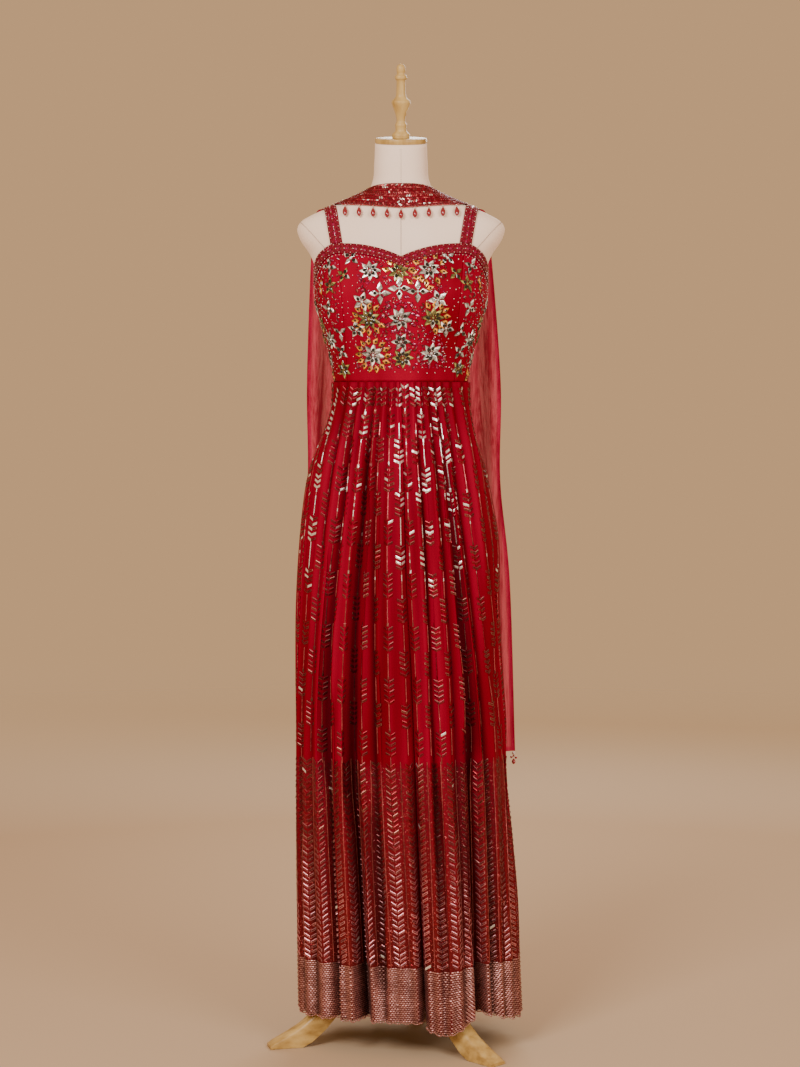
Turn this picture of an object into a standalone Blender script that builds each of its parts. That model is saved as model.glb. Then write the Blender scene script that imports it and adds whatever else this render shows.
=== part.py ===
"""Embroidered jumpsuit with wide gathered legs, worn by a limbless dress form on a tripod stand.

Metres, +Z up, front towards -Y, viewer's right is +X. The shapes are worked out about the stand's
pole (x = y = 0, floor z = 0) and then moved together, so that the middle of the whole part's
footprint is the origin.
"""

import math

import bmesh
import bpy
import numpy as np
from mathutils import Matrix, Vector
from mathutils.bvhtree import BVHTree

# Driving dimensions

SEAM_GAP = 0.0003
HALF_GAP = SEAM_GAP / 2
# Steps for slopes: in height or angle on the form, in bearing on a leg
NORMAL_STEP = 0.0005
BEARING_STEP = 0.002

WAIST_Z = 1.133
CROTCH_Z = 0.800
FORM_BOTTOM_Z = 0.850
NECK_TOP_Z = 1.540
NECK_TILT = math.radians(10)
TILT_FROM_Z = 1.475

FORM_INSET = 0.0008
BODICE_INSIDE = 0.0013
BODICE_OUTSIDE = 0.0029
BORDER_WIDTH = 0.017
BORDER_WALL = 0.0013
STRAP_INSIDE = 0.0010
STRAP_WALL = 0.0016
BAND_INSIDE = 0.0009
BAND_WALL = 0.0014
LEG_WALL = 0.0012
WAIST_FULLNESS = 0.0066
DRAPE_WALL = 0.0011

CAP_RADIUS = 0.044
CAP_THICKNESS = 0.009
CAP_EDGE = 0.0015
CAP_SIDES = 32
POLE_RADIUS = 0.0125
HUB_RADIUS = 0.025
HUB_BOTTOM_Z = 0.095
HUB_TOP_Z = 0.150
HUB_EDGE = 0.003
HUB_SIDES = 24
STAND_LEG_WIDTH = 0.032
STAND_LEG_AZIMUTHS = {"left": -76.0, "right": 44.0, "back": 164.0}

# The dress form's rings: height, half width, depth to the front, depth to the back
TORSO = (
    (0.850, 0.130, 0.092, 0.102),
    (0.880, 0.137, 0.097, 0.109),
    (0.920, 0.138, 0.098, 0.110),
    (0.960, 0.134, 0.097, 0.108),
    (1.020, 0.1225, 0.093, 0.099),
    (1.080, 0.1125, 0.088, 0.086),
    (1.133, 0.1120, 0.086, 0.077),
    (1.170, 0.1170, 0.093, 0.079),
    (1.206, 0.1270, 0.102, 0.084),
    (1.244, 0.1370, 0.114, 0.090),
    (1.282, 0.1450, 0.121, 0.094),
    (1.320, 0.1450, 0.113, 0.096),
    (1.350, 0.1560, 0.098, 0.096),
    (1.378, 0.1740, 0.083, 0.093),
    (1.398, 0.1770, 0.075, 0.090),
    (1.408, 0.1700, 0.071, 0.088),
    (1.418, 0.1530, 0.068, 0.085),
    (1.428, 0.1300, 0.065, 0.081),
    (1.438, 0.1030, 0.062, 0.076),
    (1.446, 0.0840, 0.058, 0.070),
    (1.454, 0.0675, 0.054, 0.064),
    (1.4625, 0.0555, 0.050, 0.057),
    (1.475, 0.0495, 0.047, 0.051),
    (1.505, 0.0465, 0.0450, 0.0480),
    (1.540, 0.0450, 0.0440, 0.0460),
)
TORSO_SQUARENESS = 2.3
BUST_FULLNESS = 0.006
BUST_X = 0.070
BUST_Z = 1.275
BUST_SPREAD_X = 0.045
BUST_SPREAD_Z = 0.045
FORM_COLUMNS = 40
# Rings added between the rows above, where the form turns quickly
FORM_EXTRA_ROWS = (1.300, 1.365, 1.388)

# Seam between centre front and side front: height, distance from the middle
PRINCESS_SEAM = ((1.133, 0.0890), (1.220, 0.0940), (1.300, 0.1000), (1.363, 0.1055))
# Bodice's top edge in front: panel place (0 middle, 1 princess seam, 2 side seam), height
FRONT_EDGE = (
    (0.00, 1.3393),
    (0.12, 1.3455),
    (0.30, 1.3526),
    (0.57, 1.3597),
    (0.85, 1.3630),
    (1.08, 1.3625),
    (1.25, 1.3540),
    (1.50, 1.3390),
    (1.75, 1.3240),
    (2.00, 1.3120),
)
# Bodice's top edge behind: panel place (0 middle, 2 side seam), height
BACK_EDGE = ((0.00, 1.3350), (1.20, 1.3350), (1.45, 1.3300), (1.75, 1.3180), (2.00, 1.3120))
BODICE_ROWS = 8
CENTRE_COLUMNS = 12
SIDE_COLUMNS = 6
BACK_COLUMNS = 12

# Strap's route: angle over the shoulder from the front, middle's distance from the body's middle
STRAP_ROUTE = ((0, 0.1075), (45, 0.1165), (90, 0.1240), (135, 0.1235), (200, 0.1120))
STRAP_WIDTH = 0.020
STRAP_CENTRE_Z = 1.362
STRAP_STEPS = 26
STRAP_END_GAP = 0.0005
# Spread of the rays that average a strap's normal: radians along it, metres across it
STRAP_NORMAL_TURN = 0.12
STRAP_NORMAL_SHIFT = 0.006

# Neck band: angle round the neck from the front, lower edge's height, upper edge's height
NECK_BAND = (
    (0, 1.4265, 1.4675),
    (30, 1.4310, 1.4665),
    (60, 1.4330, 1.4605),
    (75, 1.4342, 1.4520),
    (90, 1.4345, 1.4415),
    (105, 1.4342, 1.4410),
    (120, 1.4318, 1.4410),
    (145, 1.4270, 1.4400),
    (180, 1.4235, 1.4400),
)
BAND_COLUMNS = 44
DROP_COUNT = 9
DROP_SPACING = 0.0232
DROP_RADIUS = 0.0045
DROP_THREAD_RADIUS = 0.0008
DROP_SIDES = 6
DROP_STRIP_HEIGHT = 0.0018
DROP_STRIP_COLUMNS = 19
DROP_STRIP_OVERHANG = 0.004
DROP_EDGE_SPAN = math.radians(75)
# A drop's rings: distance below the band, distance from the form, radius
DROP_RINGS = (
    (0.0006, BAND_INSIDE + BAND_WALL / 2, DROP_THREAD_RADIUS),
    (0.0050, 0.0036, DROP_THREAD_RADIUS),
    (0.0120, 0.0058, DROP_RADIUS * 0.85),
    (0.0170, 0.0060, DROP_RADIUS),
    (0.0218, 0.0056, DROP_RADIUS * 0.40),
)

# The legs' outline: height, left edge, right edge
LEG_OUTLINE = (
    (0.050, -0.1770, 0.2093),
    (0.131, -0.1784, 0.2057),
    (0.236, -0.1797, 0.2023),
    (0.358, -0.1806, 0.1916),
    (0.463, -0.1806, 0.1811),
    (0.545, -0.1806, 0.1815),
    (0.650, -0.1816, 0.1746),
    (0.755, -0.1806, 0.1694),
    (0.870, -0.1737, 0.1677),
    (0.917, -0.1690, 0.1600),
    (0.963, -0.1622, 0.1505),
    (0.999, -0.1530, 0.1419),
    (1.046, -0.1345, 0.1273),
    (1.116, -0.1190, 0.1180),
    (1.133, -0.1185, 0.1180),
)
# Height, where the two legs part, depth to the front, depth to the back, gap between the legs
LEG_DEPTH = (
    (0.050, 0.0420, 0.129, 0.157, 0.0090),
    (0.180, 0.0362, 0.128, 0.153, 0.0065),
    (0.340, 0.0290, 0.126, 0.149, 0.0050),
    (0.500, 0.0228, 0.124, 0.146, 0.0040),
    (0.655, 0.0167, 0.124, 0.145, 0.0030),
    (0.800, 0.0090, 0.123, 0.145, 0.0003),
    (0.870, 0.0070, 0.122, 0.143, 0.0003),
    (0.940, 0.0055, 0.119, 0.138, 0.0003),
    (1.010, 0.0040, 0.112, 0.126, 0.0003),
    (1.060, 0.0025, 0.104, 0.112, 0.0003),
    (1.133, 0.0000, 0.092, 0.083, 0.0003),
)
LEG_ROWS = (1.1327, 1.105, 1.060, 1.010, 0.940, 0.870, CROTCH_Z, 0.655, 0.500, 0.340, 0.180, 0.050)
LEG_FLATNESS = 0.8
WAIST_SHAPE_ENDS_Z = 1.020
PUSH_STARTS_Z = 0.500
POLE_CLEAR_X = 0.0185
INNER_FACE_BULGE = 0.012
INNER_BULGE_RUN = CROTCH_Z / 4
INNER_FACE_STEPS = (0.88, 0.60, 0.30)

# Heights at which each fold's valley is placed
FOLD_HEIGHTS = (1.125, 1.010, 0.655, 0.050)
# Each fold, from the outer seam to the middle: its valley's x at the waist, hip, knee and hem,
# its depth there, and how far it is pushed out at the hem
FOLDS = {
    ("left", "front"): (
        (-0.107, -0.135, -0.171, -0.169, 0.004, 0.006, 0.008, 0.010, 0.000),
        (-0.092, -0.114, -0.151, -0.148, 0.004, 0.009, 0.010, 0.012, 0.000),
        (-0.074, -0.091, -0.126, -0.108, 0.004, 0.009, 0.014, 0.026, 0.000),
        (-0.061, -0.077, -0.106, -0.093, 0.004, 0.006, 0.005, 0.004, 0.000),
        (-0.046, -0.057, -0.085, -0.065, 0.004, 0.010, 0.018, 0.040, 0.000),
        (-0.034, -0.042, -0.048, -0.028, 0.004, 0.006, 0.012, 0.008, 0.000),
        (-0.021, -0.026, -0.030, -0.005, 0.004, 0.009, 0.007, 0.004, 0.000),
        (-0.010, -0.012, -0.008, 0.018, 0.004, 0.005, 0.004, 0.005, 0.000),
    ),
    ("right", "front"): (
        (0.106, 0.127, 0.168, 0.200, 0.004, 0.006, 0.008, 0.010, 0.000),
        (0.086, 0.107, 0.154, 0.183, 0.004, 0.007, 0.008, 0.010, 0.000),
        (0.071, 0.089, 0.136, 0.162, 0.004, 0.009, 0.012, 0.012, 0.000),
        (0.058, 0.074, 0.112, 0.1335, 0.004, 0.008, 0.018, 0.044, 0.004),
        (0.046, 0.058, 0.089, 0.107, 0.004, 0.009, 0.014, 0.010, 0.018),
        (0.035, 0.044, 0.069, 0.090, 0.004, 0.006, 0.006, 0.005, 0.020),
        (0.025, 0.032, 0.050, 0.073, 0.004, 0.008, 0.011, 0.007, 0.019),
        (0.013, 0.016, 0.033, 0.056, 0.004, 0.005, 0.005, 0.004, 0.010),
    ),
    ("left", "back"): (
        (-0.104, -0.130, -0.162, -0.160, 0.004, 0.007, 0.009, 0.014, 0.000),
        (-0.086, -0.106, -0.131, -0.122, 0.004, 0.009, 0.013, 0.026, 0.000),
        (-0.068, -0.083, -0.102, -0.090, 0.004, 0.008, 0.007, 0.008, 0.000),
        (-0.050, -0.060, -0.072, -0.055, 0.004, 0.010, 0.016, 0.034, 0.000),
        (-0.033, -0.038, -0.043, -0.020, 0.004, 0.007, 0.010, 0.009, 0.000),
        (-0.017, -0.018, -0.014, 0.010, 0.004, 0.007, 0.007, 0.007, 0.000),
    ),
    ("right", "back"): (
        (0.103, 0.124, 0.160, 0.190, 0.004, 0.007, 0.009, 0.013, 0.000),
        (0.085, 0.103, 0.139, 0.165, 0.004, 0.009, 0.012, 0.024, 0.000),
        (0.068, 0.083, 0.114, 0.140, 0.004, 0.007, 0.008, 0.009, 0.000),
        (0.051, 0.063, 0.088, 0.116, 0.004, 0.009, 0.015, 0.032, 0.000),
        (0.035, 0.044, 0.062, 0.092, 0.004, 0.007, 0.009, 0.009, 0.000),
        (0.018, 0.024, 0.038, 0.068, 0.004, 0.008, 0.007, 0.007, 0.000),
    ),
}
# Depth of the fold beside the outer seam at the fold heights, and its share of the way from the
# seam to the next valley
SIDE_FOLD_DEPTH = (0.003, 0.006, 0.013, 0.018)
SIDE_FOLD_PLACE = 0.42
# Depth of the dip where the two legs meet, at the fold heights
SPLIT_DEPTH = {"front": (0.004, 0.008, 0.020, 0.042), "back": (0.004, 0.008, 0.014, 0.022)}
# How deep a fold is a quarter of the way from its valley to the next ridge
QUARTER_DEPTH = 0.30

# The hem: x, height
HEM = {
    ("left", "front"): ((-0.180, 0.057), (-0.148, 0.059), (-0.065, 0.0605), (0.040, 0.061)),
    ("right", "front"): (
        (0.046, 0.0500),
        (0.073, 0.0440),
        (0.100, 0.0520),
        (0.112, 0.0600),
        (0.1335, 0.0740),
        (0.145, 0.0700),
        (0.165, 0.0630),
        (0.185, 0.0560),
        (0.210, 0.0500),
    ),
    ("left", "back"): ((-0.180, 0.057), (-0.080, 0.058), (-0.010, 0.062), (0.020, 0.078), (0.042, 0.088)),
    ("right", "back"): ((0.042, 0.088), (0.065, 0.078), (0.095, 0.062), (0.140, 0.056), (0.210, 0.050)),
}
# The inner faces' hem is lifted over the stand's legs: corner, then each step to the inseam
INNER_HEM = {"front": (None, 0.136, 0.148, 0.150, 0.150), "back": (0.100, 0.128, 0.145, 0.150, 0.150)}

# Sheer drape: height, half width, distance behind the pole, forward curve of its edges
DRAPE = (
    (1.400, 0.150, 0.104, 0.028),
    (1.340, 0.158, 0.114, 0.034),
    (1.130, 0.166, 0.136, 0.044),
    (0.960, 0.174, 0.160, 0.046),
    (0.780, 0.185, 0.173, 0.046),
    (0.478, 0.193, 0.178, 0.046),
)
DRAPE_SHIFT = ((1.400, 0.000), (1.130, 0.004), (0.478, 0.012))
DRAPE_FOLDS = 10
DRAPE_EDGE_POWER = 3
DRAPE_FOLD_DEPTH = ((1.430, 0.0018), (1.340, 0.004), (1.130, 0.006), (0.478, 0.008))
# Its gathered top: half its span round the neck (degrees), height above the band's lower edge,
# distance from the form
DRAPE_TOP = ((64.0, 0.004, 0.0038), (65.0, -0.006, 0.0048), (64.0, -0.014, 0.0080))

# Finial, turned: distance above the cap, radius
FINIAL = (
    (0.0003, 0.0148),
    (0.0060, 0.0152),
    (0.0090, 0.0132),
    (0.0120, 0.0098),
    (0.0180, 0.0093),
    (0.0230, 0.0098),
    (0.0290, 0.0074),
    (0.0400, 0.0092),
    (0.0530, 0.0138),
    (0.0585, 0.0156),
    (0.0625, 0.0157),
    (0.0660, 0.0120),
    (0.0710, 0.0086),
    (0.0820, 0.0078),
    (0.0960, 0.0076),
    (0.1000, 0.0099),
    (0.1045, 0.0099),
    (0.1080, 0.0068),
    (0.1150, 0.0076),
    (0.1220, 0.0060),
    (0.1255, 0.0000),
)
TURNED_SIDES = 14

# Share of a stand leg's height that its bevel takes, and of its width that its top keeps
STAND_LEG_SHOULDER = 0.35
STAND_LEG_CROWN = 0.45
# Stand's leg: distance from the pole, top's height, underside's height
STAND_LEG = (
    (0.0254, 0.138, 0.105),
    (0.060, 0.128, 0.098),
    (0.090, 0.112, 0.078),
    (0.115, 0.092, 0.052),
    (0.136, 0.072, 0.028),
    (0.160, 0.052, 0.008),
    (0.176, 0.038, 0.000),
    (0.200, 0.024, 0.000),
    (0.222, 0.012, 0.000),
    (0.232, 0.005, 0.000),
)

# Colours in linear light, roughness, metallic
FINISHES = {
    "red_cloth": ((0.42, 0.008, 0.018), 0.55, 0.0),
    "red_net": ((0.36, 0.025, 0.035), 0.70, 0.0),
    "beaded_border": ((0.40, 0.030, 0.045), 0.40, 0.1),
    "red_beads": ((0.45, 0.010, 0.020), 0.12, 0.0),
    "cream_linen": ((0.66, 0.53, 0.40), 0.90, 0.0),
    "turned_wood": ((0.50, 0.28, 0.10), 0.40, 0.0),
}


# Interpolation and grids


def column(table, number):
    """One column of a table as an array."""
    return np.array([row[number] for row in table], dtype=float)


def smooth(at, places, values):
    """Cubic curve through the values, flat beyond both ends."""
    places = np.asarray(places, dtype=float)
    values = np.asarray(values, dtype=float)
    if places[0] > places[-1]:
        places, values = places[::-1], values[::-1]
    at = np.clip(np.asarray(at, dtype=float), places[0], places[-1])
    slopes = np.gradient(values, places)
    left = np.clip(np.searchsorted(places, at) - 1, 0, len(places) - 2)
    span = places[left + 1] - places[left]
    t = (at - places[left]) / span
    return (
        (2 * t**3 - 3 * t**2 + 1) * values[left]
        + (t**3 - 2 * t**2 + t) * span * slopes[left]
        + (3 * t**2 - 2 * t**3) * values[left + 1]
        + (t**3 - t**2) * span * slopes[left + 1]
    )


def ease(t):
    """Smooth step from 0 to 1."""
    t = np.clip(t, 0.0, 1.0)
    return t * t * (3 - 2 * t)


def torso_surface(angle, z, offset=0.0):
    """Point on the dress form at an angle from the front (radians), moved out by the offset."""
    angle, z = np.broadcast_arrays(np.asarray(angle, dtype=float), np.asarray(z, dtype=float))
    step = NORMAL_STEP
    here = torso_point(angle, z)
    along = torso_point(angle + step, z) - torso_point(angle - step, z)
    up = torso_point(angle, z + step) - torso_point(angle, z - step)
    normal = np.cross(along, up)
    normal /= np.linalg.norm(normal, axis=-1, keepdims=True)
    return here + normal * np.asarray(offset)[..., None]


def torso_point(angle, z):
    heights = column(TORSO, 0)
    width = smooth(z, heights, column(TORSO, 1))
    front = smooth(z, heights, column(TORSO, 2))
    back = smooth(z, heights, column(TORSO, 3))
    across, ahead = np.sin(angle), np.cos(angle)
    swell = (np.abs(across) ** TORSO_SQUARENESS + np.abs(ahead) ** TORSO_SQUARENESS) ** (
        -1 / TORSO_SQUARENESS
    )
    x = width * across * swell
    bust = BUST_FULLNESS * np.exp(-(((np.abs(x) - BUST_X) / BUST_SPREAD_X) ** 2))
    bust = bust * np.exp(-(((z - BUST_Z) / BUST_SPREAD_Z) ** 2)) * ease(ahead * 3)
    y = -np.where(ahead > 0, front, back) * ahead * swell - bust
    tilt = math.tan(NECK_TILT) * ease((z - TILT_FROM_Z) / (NECK_TOP_Z - TILT_FROM_Z))
    return np.stack([x, y, z + y * tilt], axis=-1)


def torso_angle(x, z):
    """Angle from the front at which the form's ring at this height reaches x."""
    angles = np.linspace(-math.pi / 2, math.pi / 2, 181)
    return np.interp(x, torso_point(angles, np.full_like(angles, z))[:, 0], angles)


# Solids


def finish_object(name, mesh_data, finish):
    """Turn a closed bmesh into a named object with its material."""
    bmesh.ops.recalc_face_normals(mesh_data, faces=mesh_data.faces)
    if mesh_data.calc_volume(signed=True) < 0:
        bmesh.ops.reverse_faces(mesh_data, faces=mesh_data.faces)
    mesh = bpy.data.meshes.new(name)
    mesh_data.to_mesh(mesh)
    mesh_data.free()
    mesh.materials.append(material(finish))
    made = bpy.data.objects.new(name, mesh)
    bpy.context.scene.collection.objects.link(made)
    return made


def material(finish):
    if finish in bpy.data.materials:
        return bpy.data.materials[finish]
    colour, roughness, metallic = FINISHES[finish]
    made = bpy.data.materials.new(finish)
    made.use_nodes = True
    shader = made.node_tree.nodes["Principled BSDF"]
    shader.inputs["Base Color"].default_value = (*colour, 1.0)
    shader.inputs["Roughness"].default_value = roughness
    shader.inputs["Metallic"].default_value = metallic
    return made


def wall(name, outside, inside, finish, kept=None, closed=False):
    """Closed wall between two grids of points (rows, columns, 3); kept says which cells exist."""
    rows, columns = outside.shape[:2]
    cells = np.ones((rows - 1, columns if closed else columns - 1), dtype=bool)
    if kept is not None:
        cells &= kept
    made = bmesh.new()
    vertices = {}

    def vertex(layer, row, col):
        key = (layer, row, col % columns)
        if key not in vertices:
            grid = outside if layer else inside
            vertices[key] = made.verts.new(grid[row, col % columns])
        return vertices[key]

    edges = {}
    for row, col in zip(*np.nonzero(cells)):
        corners = [(row, col), (row, col + 1), (row + 1, col + 1), (row + 1, col)]
        corners = [(r, c % columns) for r, c in corners]
        for triangle in (corners[:3], corners[2:] + corners[:1]):
            made.faces.new([vertex(1, r, c) for r, c in triangle])
            made.faces.new([vertex(0, r, c) for r, c in reversed(triangle)])
        for start, end in zip(corners, corners[1:] + corners[:1]):
            if (end, start) in edges:
                del edges[(end, start)]
            else:
                edges[(start, end)] = True
    for start, end in edges:
        made.faces.new([vertex(1, *end), vertex(1, *start), vertex(0, *start), vertex(0, *end)])
    return finish_object(name, made, finish)


def grid_normals(grid, evenness=0.45):
    """Outward normals of a grid whose columns run clockwise seen from above, lengthened where
    it bends, so that a wall of even thickness follows it."""
    across = grid[:, 1:] - grid[:, :-1]
    down = grid[1:] - grid[:-1]
    across_here = np.zeros_like(grid)
    across_here[:, :-1] += across
    across_here[:, 1:] += across
    down_here = np.zeros_like(grid)
    down_here[:-1] += down
    down_here[1:] += down
    total = np.cross(across_here, down_here)
    total /= np.linalg.norm(total, axis=-1, keepdims=True) + 1e-12
    stretch = np.ones(grid.shape[:2])
    before = across[:, :-1] / (np.linalg.norm(across[:, :-1], axis=-1, keepdims=True) + 1e-12)
    after = across[:, 1:] / (np.linalg.norm(across[:, 1:], axis=-1, keepdims=True) + 1e-12)
    bend = np.sqrt(np.clip((1 + np.sum(before * after, axis=-1)) / 2, evenness**2, 1))
    stretch[:, 1:-1] = 1 / bend
    return total * stretch[..., None]


def turned(name, profile, finish, place, sides=TURNED_SIDES):
    """Solid of revolution from (height, radius) pairs, under a placing matrix."""
    made = bmesh.new()
    rings = []
    for height, radius in profile:
        if radius < 1e-6:
            rings.append([made.verts.new((0, 0, height))])
            continue
        turns = [2 * math.pi * k / sides for k in range(sides)]
        rings.append([made.verts.new((radius * math.cos(a), radius * math.sin(a), height)) for a in turns])
    if len(rings[0]) > 1:
        made.faces.new(reversed(rings[0]))
    for low, high in zip(rings, rings[1:]):
        if len(high) == 1:
            for k in range(sides):
                made.faces.new((low[k], low[(k + 1) % sides], high[0]))
            continue
        for k in range(sides):
            made.faces.new((low[k], low[(k + 1) % sides], high[(k + 1) % sides], high[k]))
    if len(rings[-1]) > 1:
        made.faces.new(rings[-1])
    bmesh.ops.transform(made, matrix=place, verts=made.verts)
    return finish_object(name, made, finish)


# Dress form and stand


def build_form():
    heights = [row[0] for row in TORSO]
    heights = sorted(heights + list(FORM_EXTRA_ROWS))
    angles = np.linspace(0, 2 * math.pi, FORM_COLUMNS, endpoint=False)
    rings = np.array([torso_surface(angles, np.full_like(angles, z), -FORM_INSET) for z in heights])
    rings[0, :, 2] = FORM_BOTTOM_Z
    rings[-1, :, 2] = NECK_TOP_Z + rings[-1, :, 1] * math.tan(NECK_TILT)
    made = bmesh.new()
    points = [[made.verts.new(p) for p in ring] for ring in rings]
    made.faces.new(points[0])
    made.faces.new(points[-1])
    for low, high in zip(points, points[1:]):
        for k in range(FORM_COLUMNS):
            after = (k + 1) % FORM_COLUMNS
            made.faces.new((low[k], low[after], high[after], high[k]))
    return finish_object("form_torso", made, "cream_linen")


def build_neck_cap_and_finial():
    tilt = Matrix.Rotation(NECK_TILT, 4, "X")
    seat = Matrix.Translation((0, 0, NECK_TOP_Z)) @ tilt
    edge = CAP_EDGE
    cap = (
        (SEAM_GAP, CAP_RADIUS - edge),
        (SEAM_GAP + edge, CAP_RADIUS),
        (CAP_THICKNESS - edge, CAP_RADIUS),
        (CAP_THICKNESS, CAP_RADIUS - edge),
    )
    turned("neck_cap", cap, "turned_wood", seat, sides=CAP_SIDES)
    top = seat @ Matrix.Translation((0, 0, CAP_THICKNESS))
    turned("finial", FINIAL, "turned_wood", top)


def build_stand():
    upright = Matrix.Identity(4)
    pole = ((HUB_TOP_Z + SEAM_GAP, POLE_RADIUS), (FORM_BOTTOM_Z - SEAM_GAP, POLE_RADIUS))
    turned("stand_pole", pole, "turned_wood", upright)
    edge = HUB_EDGE
    hub = (
        (HUB_BOTTOM_Z, HUB_RADIUS - edge),
        (HUB_BOTTOM_Z + edge, HUB_RADIUS),
        (HUB_TOP_Z - edge, HUB_RADIUS),
        (HUB_TOP_Z, HUB_RADIUS - edge),
    )
    turned("stand_hub", hub, "turned_wood", upright, sides=HUB_SIDES)
    for side, azimuth in STAND_LEG_AZIMUTHS.items():
        build_stand_leg(f"stand_leg_{side}", math.radians(azimuth))


def build_stand_leg(name, azimuth):
    """Curved wooden leg with a bevelled top, lofted through sections across its length."""
    half, shoulder, crown = STAND_LEG_WIDTH / 2, STAND_LEG_SHOULDER, STAND_LEG_CROWN
    made = bmesh.new()
    sections = []
    for reach, top, bottom in STAND_LEG:
        side = top - shoulder * (top - bottom)
        outline = (
            (-half, bottom),
            (half, bottom),
            (half, side),
            (half * crown, top),
            (-half * crown, top),
            (-half, side),
        )
        sections.append([made.verts.new((across, -reach, z)) for across, z in outline])
    made.faces.new(sections[0])
    made.faces.new(sections[-1])
    for near, far in zip(sections, sections[1:]):
        for k in range(len(near)):
            after = (k + 1) % len(near)
            made.faces.new((near[k], near[after], far[after], far[k]))
    bmesh.ops.transform(made, matrix=Matrix.Rotation(azimuth, 4, "Z"), verts=made.verts)
    finish_object(name, made, "turned_wood")


# Bodice


def front_angle(place, z):
    """Angle of a front panel place (0 middle, 1 princess seam, 2 side seam) at a height."""
    seam = torso_angle(smooth(z, column(PRINCESS_SEAM, 0), column(PRINCESS_SEAM, 1)), z)
    far = abs(place)
    angle = far * seam if far <= 1 else seam + (far - 1) * (math.pi / 2 - seam)
    return math.copysign(angle, place)


def back_angle(place, z):
    """Angle of a back panel place: 0 middle, -2 left side seam, 2 right side seam."""
    return math.pi - place * math.pi / 4


def top_edge(place, back):
    table = BACK_EDGE if back else FRONT_EDGE
    return float(smooth(abs(place), column(table, 0), column(table, 1)))


def bodice_heights(edge):
    """Heights up one column: even rows, then the border's two rows."""
    below = np.linspace(WAIST_Z, edge - BORDER_WIDTH, BODICE_ROWS)
    return np.concatenate([below, [edge - BORDER_WIDTH / 2, edge]])


def bodice_grid(places, back, offset):
    """Grid of points (rows from the top down) over the given panel places."""
    columns = []
    for place in places:
        heights = bodice_heights(top_edge(place, back))[::-1]
        bearing = back_angle if back else front_angle
        angles = np.array([bearing(place, z) for z in heights])
        columns.append(torso_surface(angles, heights, offset))
    return np.stack(columns, axis=1)


def part_sides(grid, left, right):
    """Pull a grid's side columns in by half a seam gap."""
    for end, beside, wanted in ((0, 1, left), (-1, -2, right)):
        if wanted:
            inward = grid[:, beside] - grid[:, end]
            inward /= np.linalg.norm(inward, axis=-1, keepdims=True)
            grid[:, end] += inward * HALF_GAP
    return grid


def build_bodice():
    centre = np.linspace(-1, 1, CENTRE_COLUMNS + 1)
    side = np.linspace(1, 2, SIDE_COLUMNS + 1)
    half_back = np.linspace(0, 2, BACK_COLUMNS + 1)
    panels = {
        "bodice_front_centre": (centre, False),
        "bodice_front_side_left": (-side[::-1], False),
        "bodice_front_side_right": (side, False),
        "bodice_back_left": (-half_back[::-1], True),
        "bodice_back_right": (half_back, True),
    }
    for name, (places, back) in panels.items():
        outside = part_sides(bodice_grid(places, back, BODICE_OUTSIDE), True, True)
        inside = part_sides(bodice_grid(places, back, BODICE_INSIDE), True, True)
        wall(name, outside, inside, "red_cloth")
    front = np.concatenate([-side[::-1], centre[1:-1], side])
    back = np.concatenate([-half_back[::-1], half_back[1:]])
    for name, places, behind in (
        ("neckline_border_front", front, False),
        ("neckline_border_back", back, True),
    ):
        low = BODICE_OUTSIDE + SEAM_GAP
        outside = part_sides(bodice_grid(places, behind, low + BORDER_WALL)[:3], True, True)
        inside = part_sides(bodice_grid(places, behind, low)[:3], True, True)
        wall(name, outside, inside, "beaded_border")


# Straps and neck band, laid on the form


def form_tree(form):
    """Search tree over the form's faces."""
    graph = bpy.context.evaluated_depsgraph_get()
    return BVHTree.FromObject(form, graph)


def on_form(tree, start, direction):
    """Where a ray from inside the form leaves it, and the face's outward normal."""
    place, normal, _, _ = tree.ray_cast(Vector(start), Vector(direction))
    if normal.dot(Vector(direction)) < 0:
        normal = -normal
    return np.array(place), np.array(normal)


def build_straps(tree):
    for name, side in (("strap_left", -1), ("strap_right", 1)):
        outside, inside = [], []
        for turn in np.linspace(0, STRAP_ROUTE[-1][0], STRAP_STEPS):
            middle = float(smooth(turn, column(STRAP_ROUTE, 0), column(STRAP_ROUTE, 1)))
            bearing = math.radians(turn)
            out_row, in_row = [], []
            for across in (-1, 0, 1):
                x = side * middle + across * STRAP_WIDTH / 2
                start = (x, 0.0, STRAP_CENTRE_Z)
                towards = (0.0, -math.cos(bearing), math.sin(bearing))
                place, _ = on_form(tree, start, towards)
                away = strap_normal(tree, x, bearing)
                out_row.append(place + away * (STRAP_INSIDE + STRAP_WALL))
                in_row.append(place + away * STRAP_INSIDE)
            outside.append(out_row)
            inside.append(in_row)
        outside, inside = np.array(outside), np.array(inside)
        seat_strap_ends(outside, STRAP_INSIDE + STRAP_WALL - FORM_INSET)
        seat_strap_ends(inside, STRAP_INSIDE - FORM_INSET)
        wall(name, outside, inside, "beaded_border")


def strap_normal(tree, x, bearing):
    """Average outward direction around a point of the strap's route."""
    total = np.zeros(3)
    for spread in (-STRAP_NORMAL_TURN, 0.0, STRAP_NORMAL_TURN):
        towards = (0.0, -math.cos(bearing + spread), math.sin(bearing + spread))
        for shift in (-STRAP_NORMAL_SHIFT, STRAP_NORMAL_SHIFT):
            total += on_form(tree, (x + shift, 0.0, STRAP_CENTRE_Z), towards)[1]
    return total / np.linalg.norm(total)


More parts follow.
